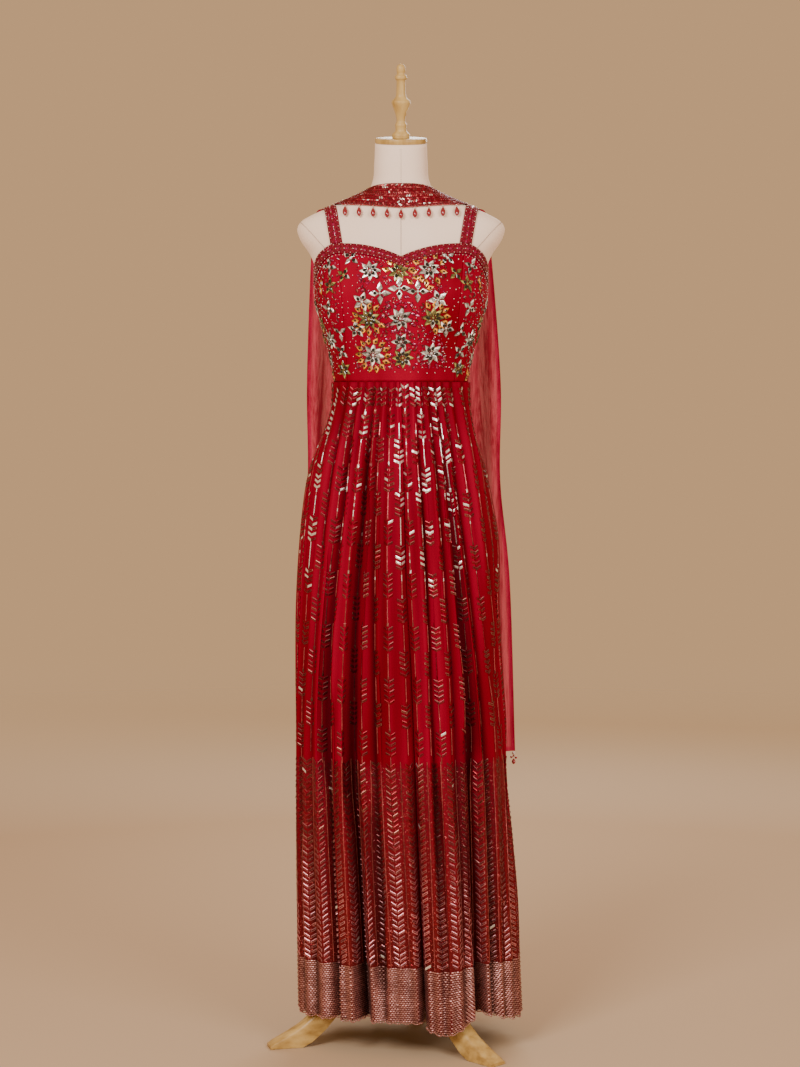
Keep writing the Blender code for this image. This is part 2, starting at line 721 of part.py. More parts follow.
def seat_strap_ends(grid, offset):
    """Bring both ends of a strap to just above the bodice's top edge."""
    for col in range(grid.shape[1]):
        x = float(grid[0, col, 0])
        angle = float(torso_angle(x, STRAP_CENTRE_Z))
        seam = front_angle(1, STRAP_CENTRE_Z)
        turn = abs(angle)
        place = turn / seam if turn < seam else 1 + (turn - seam) / (math.pi / 2 - seam)
        height = top_edge(place, False) + STRAP_END_GAP
        grid[0, col] = torso_surface(torso_angle(x, height), height, offset)
        x = float(grid[-1, col, 0])
        turn = abs(float(torso_angle(x, BACK_EDGE[0][1])))
        height = top_edge(turn / (math.pi / 4), True) + STRAP_END_GAP
        grid[-1, col] = torso_surface(math.pi - torso_angle(x, height), height, offset)


def band_edges(angle):
    """Lower and upper heights of the neck band at an angle round the neck."""
    turn = abs((math.degrees(angle) + 180) % 360 - 180)
    places = column(NECK_BAND, 0)
    return (
        float(smooth(turn, places, column(NECK_BAND, 1))),
        float(smooth(turn, places, column(NECK_BAND, 2))),
    )


def build_neck_band():
    angles = np.linspace(0, 2 * math.pi, BAND_COLUMNS, endpoint=False)
    outside, inside = [], []
    for share in (1.0, 0.5, 0.0):
        heights = [low + share * (high - low) for low, high in map(band_edges, angles)]
        outside.append(torso_surface(angles, np.array(heights), BAND_INSIDE + BAND_WALL))
        inside.append(torso_surface(angles, np.array(heights), BAND_INSIDE))
    wall("neck_band", np.array(outside), np.array(inside), "beaded_border", closed=True)


def build_neck_drops():
    """Bead drops along the band's front lower edge, joined to a narrow strip just below it."""
    strip_angles = []
    reach = (DROP_COUNT - 1) / 2 * DROP_SPACING
    edge = np.linspace(-DROP_EDGE_SPAN, DROP_EDGE_SPAN, 301)
    lows = np.array([band_edges(a)[0] for a in edge])
    line = torso_surface(edge, lows, BAND_INSIDE + BAND_WALL)
    for x in np.linspace(-reach - DROP_STRIP_OVERHANG, reach + DROP_STRIP_OVERHANG, DROP_STRIP_COLUMNS):
        strip_angles.append(float(np.interp(x, line[:, 0], edge)))
    strip_angles = np.array(strip_angles)
    tops = np.array([band_edges(a)[0] for a in strip_angles]) - SEAM_GAP
    low = BAND_INSIDE
    high = BAND_INSIDE + BAND_WALL
    rows = (tops, tops - DROP_STRIP_HEIGHT)
    outside = np.array([torso_surface(strip_angles, row, high) for row in rows])
    inside = np.array([torso_surface(strip_angles, row, low) for row in rows])
    strip = wall("neck_band_drops", outside, inside, "red_beads")
    drops = []
    for k in range(DROP_COUNT):
        x = -reach + k * DROP_SPACING
        angle = float(np.interp(x, line[:, 0], edge))
        drops.append(build_drop(x, band_edges(angle)[0] - SEAM_GAP))
    unite(strip, drops)


def build_drop(x, top):
    """Teardrop bead on a short thread, hanging straight down along the form's slope."""
    made = bmesh.new()
    rings = []
    for drop, offset, radius in DROP_RINGS:
        angle = float(torso_angle(x, top - drop))
        centre = torso_surface(angle, top - drop, offset)
        side = np.array([math.cos(angle), math.sin(angle), 0.0])
        ahead = np.array([math.sin(angle), -math.cos(angle), 0.0])
        ring = []
        for k in range(DROP_SIDES):
            turn = 2 * math.pi * k / DROP_SIDES
            ring.append(made.verts.new(centre + radius * (math.cos(turn) * side + math.sin(turn) * ahead)))
        rings.append(ring)
    made.faces.new(rings[0])
    made.faces.new(rings[-1])
    for high, low in zip(rings, rings[1:]):
        for k in range(DROP_SIDES):
            after = (k + 1) % DROP_SIDES
            made.faces.new((high[k], high[after], low[after], low[k]))
    return finish_object("drop", made, "red_beads")


def unite(base, pieces):
    """Join overlapping pieces into the base by exact Boolean unions, applied one by one."""
    for piece in pieces:
        join = base.modifiers.new("join", "BOOLEAN")
        join.operation = "UNION"
        join.solver = "EXACT"
        join.object = piece
        graph = bpy.context.evaluated_depsgraph_get()
        united = bpy.data.meshes.new_from_object(base.evaluated_get(graph))
        base.modifiers.clear()
        base.data = united
        bpy.data.objects.remove(piece, do_unlink=True)


# Legs


def leg_value(z, number):
    return smooth(z, column(LEG_DEPTH, 0), column(LEG_DEPTH, number))


def leg_base(bearing, z, side, face):
    """Outermost curve of the legs at a height: bearing 0 in the middle, 90 degrees at the side."""
    sign = -1.0 if side == "left" else 1.0
    middle = leg_value(z, 1)
    edge = smooth(z, column(LEG_OUTLINE, 0), column(LEG_OUTLINE, 1 if side == "left" else 2))
    depth = leg_value(z, 2 if face == "front" else 3)
    ahead = -1.0 if face == "front" else 1.0
    hung_x = middle + (edge - middle) * np.sin(bearing)
    hung_y = ahead * depth * np.cos(bearing) ** LEG_FLATNESS
    around = sign * bearing if face == "front" else math.pi - sign * bearing
    worn = torso_surface(around, z, WAIST_FULLNESS)
    share = ease((WAIST_Z - z) / (WAIST_Z - WAIST_SHAPE_ENDS_Z))
    x = worn[..., 0] * (1 - share) + hung_x * share
    y = worn[..., 1] * (1 - share) + hung_y * share
    return np.stack([x, y], axis=-1)


def fold_columns(z, side, face):
    """Bearings of a panel's columns at a height, and how far each stands from the base curve."""
    sample = np.linspace(0, math.pi / 2, 121)
    curve = leg_base(sample, np.full_like(sample, z), side, face)
    away = np.abs(curve[:, 0] - curve[0, 0])
    folds = FOLDS[(side, face)]
    push_share = ease((PUSH_STARTS_Z - z) / (PUSH_STARTS_Z - FOLD_HEIGHTS[-1]))
    valleys = []
    for fold in folds:
        x = float(smooth(z, FOLD_HEIGHTS, fold[0:4]))
        depth = float(smooth(z, FOLD_HEIGHTS, fold[4:8]))
        bearing = float(np.interp(abs(x - curve[0, 0]), away, sample))
        valleys.append((bearing, depth, fold[8] * push_share))
    split = float(smooth(z, FOLD_HEIGHTS, SPLIT_DEPTH[face]))
    valleys.append((0.0, split, valleys[-1][2] / 2))
    side_bearing = math.pi / 2 + (valleys[0][0] - math.pi / 2) * SIDE_FOLD_PLACE
    side_depth = float(smooth(z, FOLD_HEIGHTS, SIDE_FOLD_DEPTH))
    valleys.insert(0, (side_bearing, side_depth, 0.0))
    quarter = QUARTER_DEPTH
    bearings = [math.pi / 2, (math.pi / 2 + side_bearing) / 2, side_bearing]
    offsets = [0.0, -quarter * side_depth, -side_depth]
    for (a, deep_a, push_a), (b, deep_b, push_b) in zip(valleys, valleys[1:]):
        for share in (0.25, 0.50, 0.75, 1.00):
            bearings.append(a + (b - a) * share)
            push = push_a + (push_b - push_a) * share
            dip = {0.25: quarter * deep_a, 0.50: 0.0, 0.75: quarter * deep_b, 1.00: deep_b}[share]
            offsets.append(push - dip)
    return np.array(bearings), np.array(offsets)


def leg_row(z, side, face):
    """One row of a panel: outer seam, folds, middle, then the inner face to the inseam."""
    bearings, offsets = fold_columns(z, side, face)
    heights = np.full_like(bearings, z)
    step = BEARING_STEP
    here = leg_base(bearings, heights, side, face)
    behind = leg_base(np.clip(bearings - step, 0, None), heights, side, face)
    beyond = leg_base(np.clip(bearings + step, None, math.pi / 2), heights, side, face)
    tangent = beyond - behind
    normal = np.stack([-tangent[:, 1], tangent[:, 0]], axis=-1)
    normal /= np.linalg.norm(normal, axis=-1, keepdims=True)
    outward = here - np.array([leg_value(z, 1), 0.0])
    normal *= np.sign(np.sum(normal * outward, axis=-1, keepdims=True))
    row = here + normal * offsets[:, None]
    sign = -1.0 if side == "left" else 1.0
    ahead = -1.0 if face == "front" else 1.0
    middle = float(leg_value(z, 1))
    gap = float(leg_value(z, 4)) / 2
    row[-1, 0] = middle + sign * gap
    row[0, 1] = ahead * HALF_GAP
    corner = row[-1].copy()
    bulge = max(INNER_FACE_BULGE * ease((CROTCH_Z - z) / INNER_BULGE_RUN), POLE_CLEAR_X - middle)
    inner = []
    for share in (*INNER_FACE_STEPS, 0.0):
        y = corner[1] * share if share else ahead * HALF_GAP
        inner.append((corner[0] + bulge * (1 - share**2), y))
    return np.concatenate([row, np.array(inner)])


def leg_net(side, face):
    """Grid of points of one leg panel, waist to hem, and which cells exist."""
    rows = []
    for z in LEG_ROWS:
        row = leg_row(z, side, face)
        rows.append(np.column_stack([row, np.full(len(row), z)]))
    net = np.array(rows)
    inner = len(INNER_FACE_STEPS) + 1
    corner = net.shape[1] - 1 - inner
    table = HEM[(side, face)]
    net[-1, :, 2] = smooth(net[-1, :, 0], column(table, 0), column(table, 1))
    for step, height in enumerate(INNER_HEM[face]):
        if height is not None:
            net[-1, corner + step, 2] = height
    kept = np.ones((net.shape[0] - 1, net.shape[1] - 1), dtype=bool)
    kept[: LEG_ROWS.index(CROTCH_Z), corner:] = False
    return net, kept


def build_legs():
    for side in ("left", "right"):
        for face in ("front", "back"):
            net, kept = leg_net(side, face)
            normals = grid_normals(net)
            clockwise = (side == "left") == (face == "front")
            inside = net + normals * LEG_WALL * (1 if clockwise else -1)
            inside[:, 0, 1] = net[:, 0, 1]
            inside[:, -1, 1] = net[:, -1, 1]
            inside[0, :, 2] = net[0, :, 2]
            wall(f"leg_{side}_{face}", net, inside, "red_cloth", kept)


# Sheer drape


def drape_point(share, z):
    """Hanging part of the drape: share -1 at its left edge, 1 at its right edge."""
    heights = column(DRAPE, 0)
    half = smooth(z, heights, column(DRAPE, 1))
    behind = smooth(z, heights, column(DRAPE, 2))
    curve = smooth(z, heights, column(DRAPE, 3))
    shift = smooth(z, column(DRAPE_SHIFT, 0), column(DRAPE_SHIFT, 1))
    deep = smooth(z, column(DRAPE_FOLD_DEPTH, 0), column(DRAPE_FOLD_DEPTH, 1))
    wave = np.cos(math.pi * DRAPE_FOLDS * share)
    x = shift + half * share
    y = behind - curve * np.abs(share) ** DRAPE_EDGE_POWER + deep * wave
    return np.stack([x, y, np.broadcast_to(z, x.shape)], axis=-1)


def drape_top(share, half_span, lift, offset):
    """Gathered top of the drape, over the back of the neck band and the shoulders."""
    angles = math.pi - share * math.radians(half_span)
    heights = np.array([band_edges(a)[0] for a in angles]) + lift
    deep = DRAPE_FOLD_DEPTH[0][1] * (0.5 + 0.5 * np.cos(math.pi * DRAPE_FOLDS * share))
    return torso_surface(angles, heights, offset + deep)


def build_drape():
    share = np.linspace(-1, 1, DRAPE_FOLDS * 4 + 1)
    rows = [drape_top(share, *row) for row in DRAPE_TOP]
    for z in column(DRAPE, 0):
        rows.append(drape_point(share, z))
    grid = np.array(rows)
    inside = grid - grid_normals(grid) * DRAPE_WALL
    wall("drape", grid, inside, "red_net")


# Whole part


def centre_on_footprint():
    """Move everything so that the footprint's middle is the origin."""
    corners = [made.matrix_world @ v.co for made in bpy.data.objects for v in made.data.vertices]
    xs = [p.x for p in corners]
    ys = [p.y for p in corners]
    middle = Vector(((min(xs) + max(xs)) / 2, (min(ys) + max(ys)) / 2, 0.0))
    pole_axis = bpy.data.objects.new("pole_axis", None)
    bpy.context.scene.collection.objects.link(pole_axis)
    for made in bpy.data.objects:
        if made.type == "MESH":
            made.parent = pole_axis
    pole_axis.location = -middle
    bpy.context.view_layer.update()


def main():
    for old in list(bpy.data.objects):
        bpy.data.objects.remove(old, do_unlink=True)
    form = build_form()
    build_neck_cap_and_finial()
    build_stand()
    build_bodice()
    build_straps(form_tree(form))
    build_neck_band()
    build_neck_drops()
    build_legs()
    build_drape()
    centre_on_footprint()


main()
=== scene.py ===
"""Looks of the embroidered jumpsuit on its dress form: cloth shells, sequins, gems, drape and wood.

Metres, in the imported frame. Shapes are worked out about the stand's pole, as in the part's source,
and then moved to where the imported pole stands.
"""

import math

import bmesh
import bpy
import numpy as np
from mathutils import Matrix, Vector
from mathutils.bvhtree import BVHTree


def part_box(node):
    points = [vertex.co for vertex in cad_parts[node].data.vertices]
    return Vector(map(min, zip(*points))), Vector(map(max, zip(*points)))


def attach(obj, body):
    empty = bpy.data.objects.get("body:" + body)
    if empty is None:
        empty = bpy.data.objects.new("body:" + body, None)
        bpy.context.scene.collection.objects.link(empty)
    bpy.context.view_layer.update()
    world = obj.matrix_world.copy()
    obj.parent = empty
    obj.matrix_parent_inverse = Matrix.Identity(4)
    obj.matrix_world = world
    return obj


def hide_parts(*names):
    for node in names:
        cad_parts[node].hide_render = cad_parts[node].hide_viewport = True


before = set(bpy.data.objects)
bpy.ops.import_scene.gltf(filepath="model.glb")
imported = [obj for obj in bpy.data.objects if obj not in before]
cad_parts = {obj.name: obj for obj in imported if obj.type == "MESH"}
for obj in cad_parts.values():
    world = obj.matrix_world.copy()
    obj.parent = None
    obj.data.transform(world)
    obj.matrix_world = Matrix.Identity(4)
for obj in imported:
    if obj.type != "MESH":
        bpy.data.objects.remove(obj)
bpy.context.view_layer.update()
POLE = sum(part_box("stand_pole"), Vector()) / 2
POLE = np.array([POLE.x, POLE.y, 0.0])

# Camera, fitted to the photograph's frame
FRAME_LONG_PX = 1067
FOCAL_PX = 2334.0
SENSOR_MM = 36.0
CAMERA_DISTANCE = 4.0
CAMERA_HEIGHT = 1.0952
CAMERA_DOWN = math.radians(1.863)
CAMERA_X = -0.00166
CAMERA_SHIFT_Y = -0.05

# Dimensions of the part's source
SEAM_GAP = 0.0003
HALF_GAP = SEAM_GAP / 2
WAIST_Z = 1.133
CROTCH_Z = 0.800
FORM_BOTTOM_Z = 0.850
NECK_TOP_Z = 1.540
NECK_TILT = math.radians(10)
TILT_FROM_Z = 1.475
FORM_INSET = 0.0008
BODICE_OUTSIDE = 0.0029
BORDER_WIDTH = 0.017
BORDER_WALL = 0.0013
BORDER_OUTSIDE = BODICE_OUTSIDE + SEAM_GAP + BORDER_WALL
STRAP_OUTSIDE = 0.0026
BAND_OUTSIDE = 0.0023
WAIST_FULLNESS = 0.0066
CAP_RADIUS = 0.044
CAP_THICKNESS = 0.009
POLE_RADIUS = 0.0125
HUB_RADIUS = 0.025
HUB_BOTTOM_Z = 0.095
HUB_TOP_Z = 0.150
STAND_LEG_WIDTH = 0.032
STAND_LEG_AZIMUTHS = {"left": -76.0, "right": 44.0, "back": 164.0}


def millimetres(*rows):
    """Rows of a table in metres, from rows written in millimetres."""
    return [[value / 1000 for value in row] for row in rows]


# The dress form's rings: height, half width, depth to the front, depth to the back
TORSO = millimetres(
    (850, 130, 92, 102), (880, 137, 97, 109), (920, 138, 98, 110), (960, 134, 97, 108),
    (1020, 122.5, 93, 99), (1080, 112.5, 88, 86), (1133, 112, 86, 77), (1170, 117, 93, 79),
    (1206, 127, 102, 84), (1244, 137, 114, 90), (1282, 145, 121, 94), (1320, 145, 113, 96),
    (1350, 156, 98, 96), (1378, 174, 83, 93), (1398, 177, 75, 90), (1408, 170, 71, 88),
    (1418, 153, 68, 85), (1428, 130, 65, 81), (1438, 103, 62, 76), (1446, 84, 58, 70),
    (1454, 67.5, 54, 64), (1462.5, 55.5, 50, 57), (1475, 49.5, 47, 51), (1505, 46.5, 45, 48),
    (1540, 45, 44, 46),
)
TORSO_SQUARENESS = 2.3
BUST_FULLNESS = 0.006
BUST_X = 0.070
BUST_Z = 1.275
BUST_SPREAD = 0.045

# Seam between centre front and side front: height, distance from the middle
PRINCESS_SEAM = millimetres(
    (1133, 89), (1220, 94), (1300, 100), (1363, 105.5),
)
# Bodice's top edge in front: panel place (0 middle, 1 princess seam, 2 side seam), height
FRONT_EDGE = (
    (0.0, 1.3393), (0.12, 1.3455), (0.3, 1.3526), (0.57, 1.3597), (0.85, 1.363), (1.08, 1.3625),
    (1.25, 1.354), (1.5, 1.339), (1.75, 1.324), (2, 1.312),
)
# Bodice's top edge behind: panel place (0 middle, 2 side seam), height
BACK_EDGE = (
    (0.0, 1.335), (1.2, 1.335), (1.45, 1.33), (1.75, 1.318), (2, 1.312),
)
# Strap's route: angle over the shoulder from the front, middle's distance from the body's middle
STRAP_ROUTE = (
    (0, 0.1075), (45, 0.1165), (90, 0.124), (135, 0.1235), (200, 0.112),
)
STRAP_WIDTH = 0.020
STRAP_CENTRE_Z = 1.362
STRAP_END_GAP = 0.0005

# Neck band: angle round the neck from the front, lower edge's height, upper edge's height
NECK_BAND = (
    (0, 1.4265, 1.4675), (30, 1.431, 1.4665), (60, 1.433, 1.4605), (75, 1.4342, 1.452),
    (90, 1.4345, 1.4415), (105, 1.4342, 1.441), (120, 1.4318, 1.441), (145, 1.427, 1.44),
    (180, 1.4235, 1.44),
)
DROP_COUNT = 9
DROP_SPACING = 0.0232

# The legs' outline: height, left edge, right edge
LEG_OUTLINE = millimetres(
    (50, -177, 209.3), (131, -178.4, 205.7), (236, -179.7, 202.3), (358, -180.6, 191.6),
    (463, -180.6, 181.1), (545, -180.6, 181.5), (650, -181.6, 174.6), (755, -180.6, 169.4),
    (870, -173.7, 167.7), (917, -169, 160), (963, -162.2, 150.5), (999, -153, 141.9),
    (1046, -134.5, 127.3), (1116, -119, 118), (1133, -118.5, 118),
)
# Height, where the two legs part, depth to the front, depth to the back, gap between the legs
LEG_DEPTH = millimetres(
    (50, 42, 129, 157, 9), (180, 36.2, 128, 153, 6.5), (340, 29, 126, 149, 5), (500, 22.8, 124, 146, 4),
    (655, 16.7, 124, 145, 3), (800, 9, 123, 145, 0.3), (870, 7, 122, 143, 0.3), (940, 5.5, 119, 138, 0.3),
    (1010, 4, 112, 126, 0.3), (1060, 2.5, 104, 112, 0.3), (1133, 0, 92, 83, 0.3),
)
LEG_TOP_Z = 1.1327
HEM_STARTS_Z = 0.180
LEG_BOTTOM_Z = 0.050
LEG_FLATNESS = 0.8
WAIST_SHAPE_ENDS_Z = 1.020
PUSH_STARTS_Z = 0.500
POLE_CLEAR_X = 0.0185
INNER_FACE_BULGE = 0.012
INNER_FACE_STEPS = (0.88, 0.60, 0.30)
SIDES = {"left": -1.0, "right": 1.0}
FACES = {"front": -1.0, "back": 1.0}

# Heights at which each fold's valley is placed
FOLD_HEIGHTS = (1.125, 1.010, 0.655, 0.050)
# Each fold, from the outer seam to the middle: its valley's x at the waist, hip, knee and hem,
# its depth there, and how far it is pushed out at the hem
FOLDS = {
    ("left", "front"): millimetres(
        (-107, -135, -171, -169, 4, 6, 8, 10, 0), (-92, -114, -151, -148, 4, 9, 10, 12, 0),
        (-74, -91, -126, -108, 4, 9, 14, 26, 0), (-61, -77, -106, -93, 4, 6, 5, 4, 0),
        (-46, -57, -85, -65, 4, 10, 18, 40, 0), (-34, -42, -48, -28, 4, 6, 12, 8, 0),
        (-21, -26, -30, -5, 4, 9, 7, 4, 0), (-10, -12, -8, 18, 4, 5, 4, 5, 0),
    ),
    ("right", "front"): millimetres(
        (106, 127, 168, 200, 4, 6, 8, 10, 0), (86, 107, 154, 183, 4, 7, 8, 10, 0),
        (71, 89, 136, 162, 4, 9, 12, 12, 0), (58, 74, 112, 133.5, 4, 8, 18, 44, 4),
        (46, 58, 89, 107, 4, 9, 14, 10, 18), (35, 44, 69, 90, 4, 6, 6, 5, 20),
        (25, 32, 50, 73, 4, 8, 11, 7, 19), (13, 16, 33, 56, 4, 5, 5, 4, 10),
    ),
    ("left", "back"): millimetres(
        (-104, -130, -162, -160, 4, 7, 9, 14, 0), (-86, -106, -131, -122, 4, 9, 13, 26, 0),
        (-68, -83, -102, -90, 4, 8, 7, 8, 0), (-50, -60, -72, -55, 4, 10, 16, 34, 0),
        (-33, -38, -43, -20, 4, 7, 10, 9, 0), (-17, -18, -14, 10, 4, 7, 7, 7, 0),
    ),
    ("right", "back"): millimetres(
        (103, 124, 160, 190, 4, 7, 9, 13, 0), (85, 103, 139, 165, 4, 9, 12, 24, 0),
        (68, 83, 114, 140, 4, 7, 8, 9, 0), (51, 63, 88, 116, 4, 9, 15, 32, 0),
        (35, 44, 62, 92, 4, 7, 9, 9, 0), (18, 24, 38, 68, 4, 8, 7, 7, 0),
    ),
}
# How strongly each fold shows between the waist and the hem
FOLD_STRENGTH = {
    ("left", "front"): (0.55, 0.80, 1.30, 0.25, 1.35, 1.10, 0.35, 0.25),
    ("right", "front"): (0.55, 0.40, 1.20, 1.10, 0.90, 0.25, 1.20, 0.30),
    ("left", "back"): (0.60, 1.30, 0.40, 1.30, 0.80, 0.45),
    ("right", "back"): (0.60, 1.30, 0.40, 1.30, 0.80, 0.45),
}
# Depth of the fold beside the outer seam at the fold heights, and its share of the way from the
# seam to the next valley
SIDE_FOLD_DEPTH = (0.003, 0.006, 0.013, 0.018)
SIDE_FOLD_PLACE = 0.42
# Depth of the dip where the two legs meet, at the fold heights
SPLIT_DEPTH = {"front": (0.004, 0.007, 0.014, 0.024), "back": (0.004, 0.008, 0.014, 0.022)}
SPLIT_SHARE = 0.2
QUARTER_DEPTH = 0.48

# Creases laid over the folds: column (an outer seam is 0, a fold's valley 2, 6, 10 and so on),
# top, bottom, half width in columns, height (negative for a trough), drift in columns
CREASES = {
    ("left", "front"): (
        (4.2, 1.06, 0.62, 0.9, -0.0043, 0.6), (7.6, 0.98, 0.3, 1.0, -0.0055, -0.5),
        (8.6, 1.12, 0.88, 0.7, 0.0024, 0.4), (12.3, 0.9, 0.42, 1.2, -0.0067, 0.9),
        (11.2, 1.1, 0.8, 0.7, 0.0022, -0.3), (15.7, 1.04, 0.7, 0.8, -0.0043, 0.3),
        (16.6, 0.66, 0.1, 1.3, -0.0072, -0.8), (19.8, 1.08, 0.55, 1.0, 0.0034, 0.7),
        (20.6, 0.92, 0.36, 0.9, -0.0052, 0.2), (24.2, 0.99, 0.5, 1.1, -0.0061, -0.6),
        (25, 0.46, 0.06, 1.2, -0.0064, 0.8), (28.1, 1.05, 0.74, 0.8, -0.0041, 0.5),
        (28.6, 0.7, 0.2, 1.2, -0.007, -0.7), (31.8, 0.96, 0.4, 0.9, 0.003, 0.3),
    ),
    ("right", "front"): (
        (3.8, 1.02, 0.48, 1.1, -0.0049, -0.4), (8.3, 1.08, 0.76, 0.8, 0.0026, 0.5),
        (8, 0.74, 0.16, 1.3, -0.007, 0.6), (11.7, 0.97, 0.58, 0.9, -0.0049, -0.6),
        (12.5, 0.55, 0.08, 1.1, -0.0052, 0.5), (16.2, 1.05, 0.44, 1.2, -0.0067, 0.9),
        (15.3, 1.11, 0.9, 0.7, 0.0022, -0.3), (19.7, 1.0, 0.64, 0.9, -0.0046, -0.5),
        (20.4, 0.6, 0.12, 1.2, -0.0058, 0.4), (23.9, 1.07, 0.82, 0.8, 0.0028, 0.4),
        (24.4, 0.86, 0.34, 1.1, -0.0064, -0.8), (27.6, 1.03, 0.52, 0.9, -0.0049, 0.6),
        (29, 0.5, 0.06, 1.2, -0.0052, -0.4), (31.9, 1.0, 0.6, 1.0, 0.0032, -0.4),
    ),
    ("left", "back"): (
        (4.1, 1.03, 0.5, 1.1, -0.0052, 0.5), (8.4, 1.07, 0.78, 0.8, 0.0026, -0.4),
        (7.8, 0.7, 0.14, 1.3, -0.007, 0.7), (12.1, 0.98, 0.4, 1.1, -0.0064, -0.7),
        (16.3, 1.05, 0.62, 0.9, -0.0046, 0.5), (15.6, 0.58, 0.1, 1.3, -0.0067, -0.4),
        (20.2, 0.94, 0.46, 1.2, -0.0061, 0.6), (23.7, 1.06, 0.7, 0.9, 0.003, -0.5),
    ),
    ("right", "back"): (
        (3.9, 1.0, 0.44, 1.0, -0.0049, -0.5), (7.7, 1.08, 0.8, 0.8, 0.0026, 0.4),
        (8.5, 0.76, 0.2, 1.2, -0.0067, -0.6), (12.4, 1.04, 0.56, 1.0, -0.0055, 0.6),
        (11.6, 0.52, 0.08, 1.3, -0.0064, -0.4), (16.1, 0.96, 0.38, 1.2, -0.0067, 0.7),
        (20.5, 1.05, 0.66, 0.9, -0.0049, -0.5), (24.1, 0.84, 0.3, 1.1, 0.003, 0.5),
    ),
}
CREASE_FADE = 0.10
GATHER_HEIGHT = 0.0011
GATHER_ENDS_Z = 1.070

# The hem: x, height
HEM = {
    ("left", "front"): millimetres(
        (-180, 57), (-148, 59), (-65, 60.5), (40, 61),
    ),
    ("right", "front"): millimetres(
        (46, 50), (73, 44), (100, 52), (112, 60), (133.5, 74), (145, 70), (165, 63), (185, 56), (210, 50),
    ),
    ("left", "back"): millimetres(
        (-180, 57), (-80, 58), (-10, 62), (20, 78), (42, 88),
    ),
    ("right", "back"): millimetres(
        (42, 88), (65, 78), (95, 62), (140, 56), (210, 50),
    ),
}
# The inner faces' hem is lifted over the stand's legs: corner, then each step to the inseam
INNER_HEM = {"front": (None, 0.136, 0.148, 0.150, 0.150), "back": (0.100, 0.128, 0.145, 0.150, 0.150)}

# Sheer drape: height, half width, distance behind the pole, forward curve of its edges
DRAPE = millimetres(
    (1400, 150, 104, 28), (1340, 158, 114, 34), (1130, 166, 136, 44), (960, 174, 160, 46),
    (780, 185, 173, 46), (478, 193, 178, 46),
)
DRAPE_SHIFT = ((1.400, 0.000), (1.130, 0.004), (0.478, 0.012))
DRAPE_FOLDS = 10
DRAPE_FOLD_DEPTH = ((1.430, 0.0018), (1.340, 0.004), (1.130, 0.006), (0.478, 0.008))
# Its gathered top: half its span round the neck (degrees), height above the band's lower edge,
# distance from the form
DRAPE_TOP = ((64.0, 0.004, 0.0038), (65.0, -0.006, 0.0048), (64.0, -0.014, 0.0080))

# Finial, turned: distance above the cap, radius
FINIAL = millimetres(
    (0.3, 14.8), (6, 15.2), (9, 13.2), (12, 9.8), (18, 9.3), (23, 9.8), (29, 7.4), (40, 9.2), (53, 13.8),
    (58.5, 15.6), (62.5, 15.7), (66, 12), (71, 8.6), (82, 7.8), (96, 7.6), (100, 9.9), (104.5, 9.9),
    (108, 6.8), (115, 7.6), (122, 6), (125.5, 0),
)
# Stand's leg: distance from the pole, top's height, underside's height
STAND_LEG = millimetres(
    (25.4, 138, 105), (60, 128, 98), (90, 112, 78), (115, 92, 52), (136, 72, 28), (160, 52, 8),
    (176, 38, 0), (200, 24, 0), (222, 12, 0), (232, 5, 0),
)

# Interpolation and the shapes of the part's source


def column(table, number):
    return np.array([row[number] for row in table], dtype=float)


def smooth(at, places, values):
    """Cubic curve through the values, flat beyond both ends."""
    places, values = np.asarray(places, dtype=float), np.asarray(values, dtype=float)
    if places[0] > places[-1]:
        places, values = places[::-1], values[::-1]
    at = np.clip(np.asarray(at, dtype=float), places[0], places[-1])
    slopes = np.gradient(values, places)
    left = np.clip(np.searchsorted(places, at) - 1, 0, len(places) - 2)
    span = places[left + 1] - places[left]
    t = (at - places[left]) / span
    return (
        (2 * t**3 - 3 * t**2 + 1) * values[left]
        + (t**3 - 2 * t**2 + t) * span * slopes[left]
        + (3 * t**2 - 2 * t**3) * values[left + 1]
        + (t**3 - t**2) * span * slopes[left + 1]
    )


def read(table, place, number=1):
    """A table's column at a place in its first column."""
    return smooth(place, column(table, 0), column(table, number))


def ease(t):
    """Smooth step from 0 to 1."""
    t = np.clip(t, 0.0, 1.0)
    return t * t * (3 - 2 * t)


def bell(distance, width):
    return np.exp(-((distance / width) ** 2))


def unit(vectors):
    return vectors / (np.linalg.norm(vectors, axis=-1, keepdims=True) + 1e-12)


def torso_point(angle, z):
    width, front, back = (read(TORSO, z, k) for k in (1, 2, 3))
    across, ahead = np.sin(angle), np.cos(angle)
    power = TORSO_SQUARENESS
    swell = (np.abs(across) ** power + np.abs(ahead) ** power) ** (-1 / power)
    x = width * across * swell
    bust = BUST_FULLNESS * bell(np.abs(x) - BUST_X, BUST_SPREAD)
    bust = bust * bell(z - BUST_Z, BUST_SPREAD) * ease(ahead * 3)
    y = -np.where(ahead > 0, front, back) * ahead * swell - bust
    tilt = math.tan(NECK_TILT) * ease((z - TILT_FROM_Z) / (NECK_TOP_Z - TILT_FROM_Z))
    return np.stack([x, y, z + y * tilt], axis=-1)


def torso_frame(angle, z):
    """Point on the dress form, how it moves with the angle and with the height, and its normal."""
    angle, z = np.broadcast_arrays(np.asarray(angle, dtype=float), np.asarray(z, dtype=float))
    step = 0.0005
    along = (torso_point(angle + step, z) - torso_point(angle - step, z)) / (2 * step)
    up = (torso_point(angle, z + step) - torso_point(angle, z - step)) / (2 * step)
    return torso_point(angle, z), along, up, unit(np.cross(along, up))


def torso_surface(angle, z, offset=0.0):
    """Point on the dress form at an angle from the front (radians), moved out by the offset."""
    here, _, _, normal = torso_frame(angle, z)
    return here + normal * np.asarray(offset)[..., None]


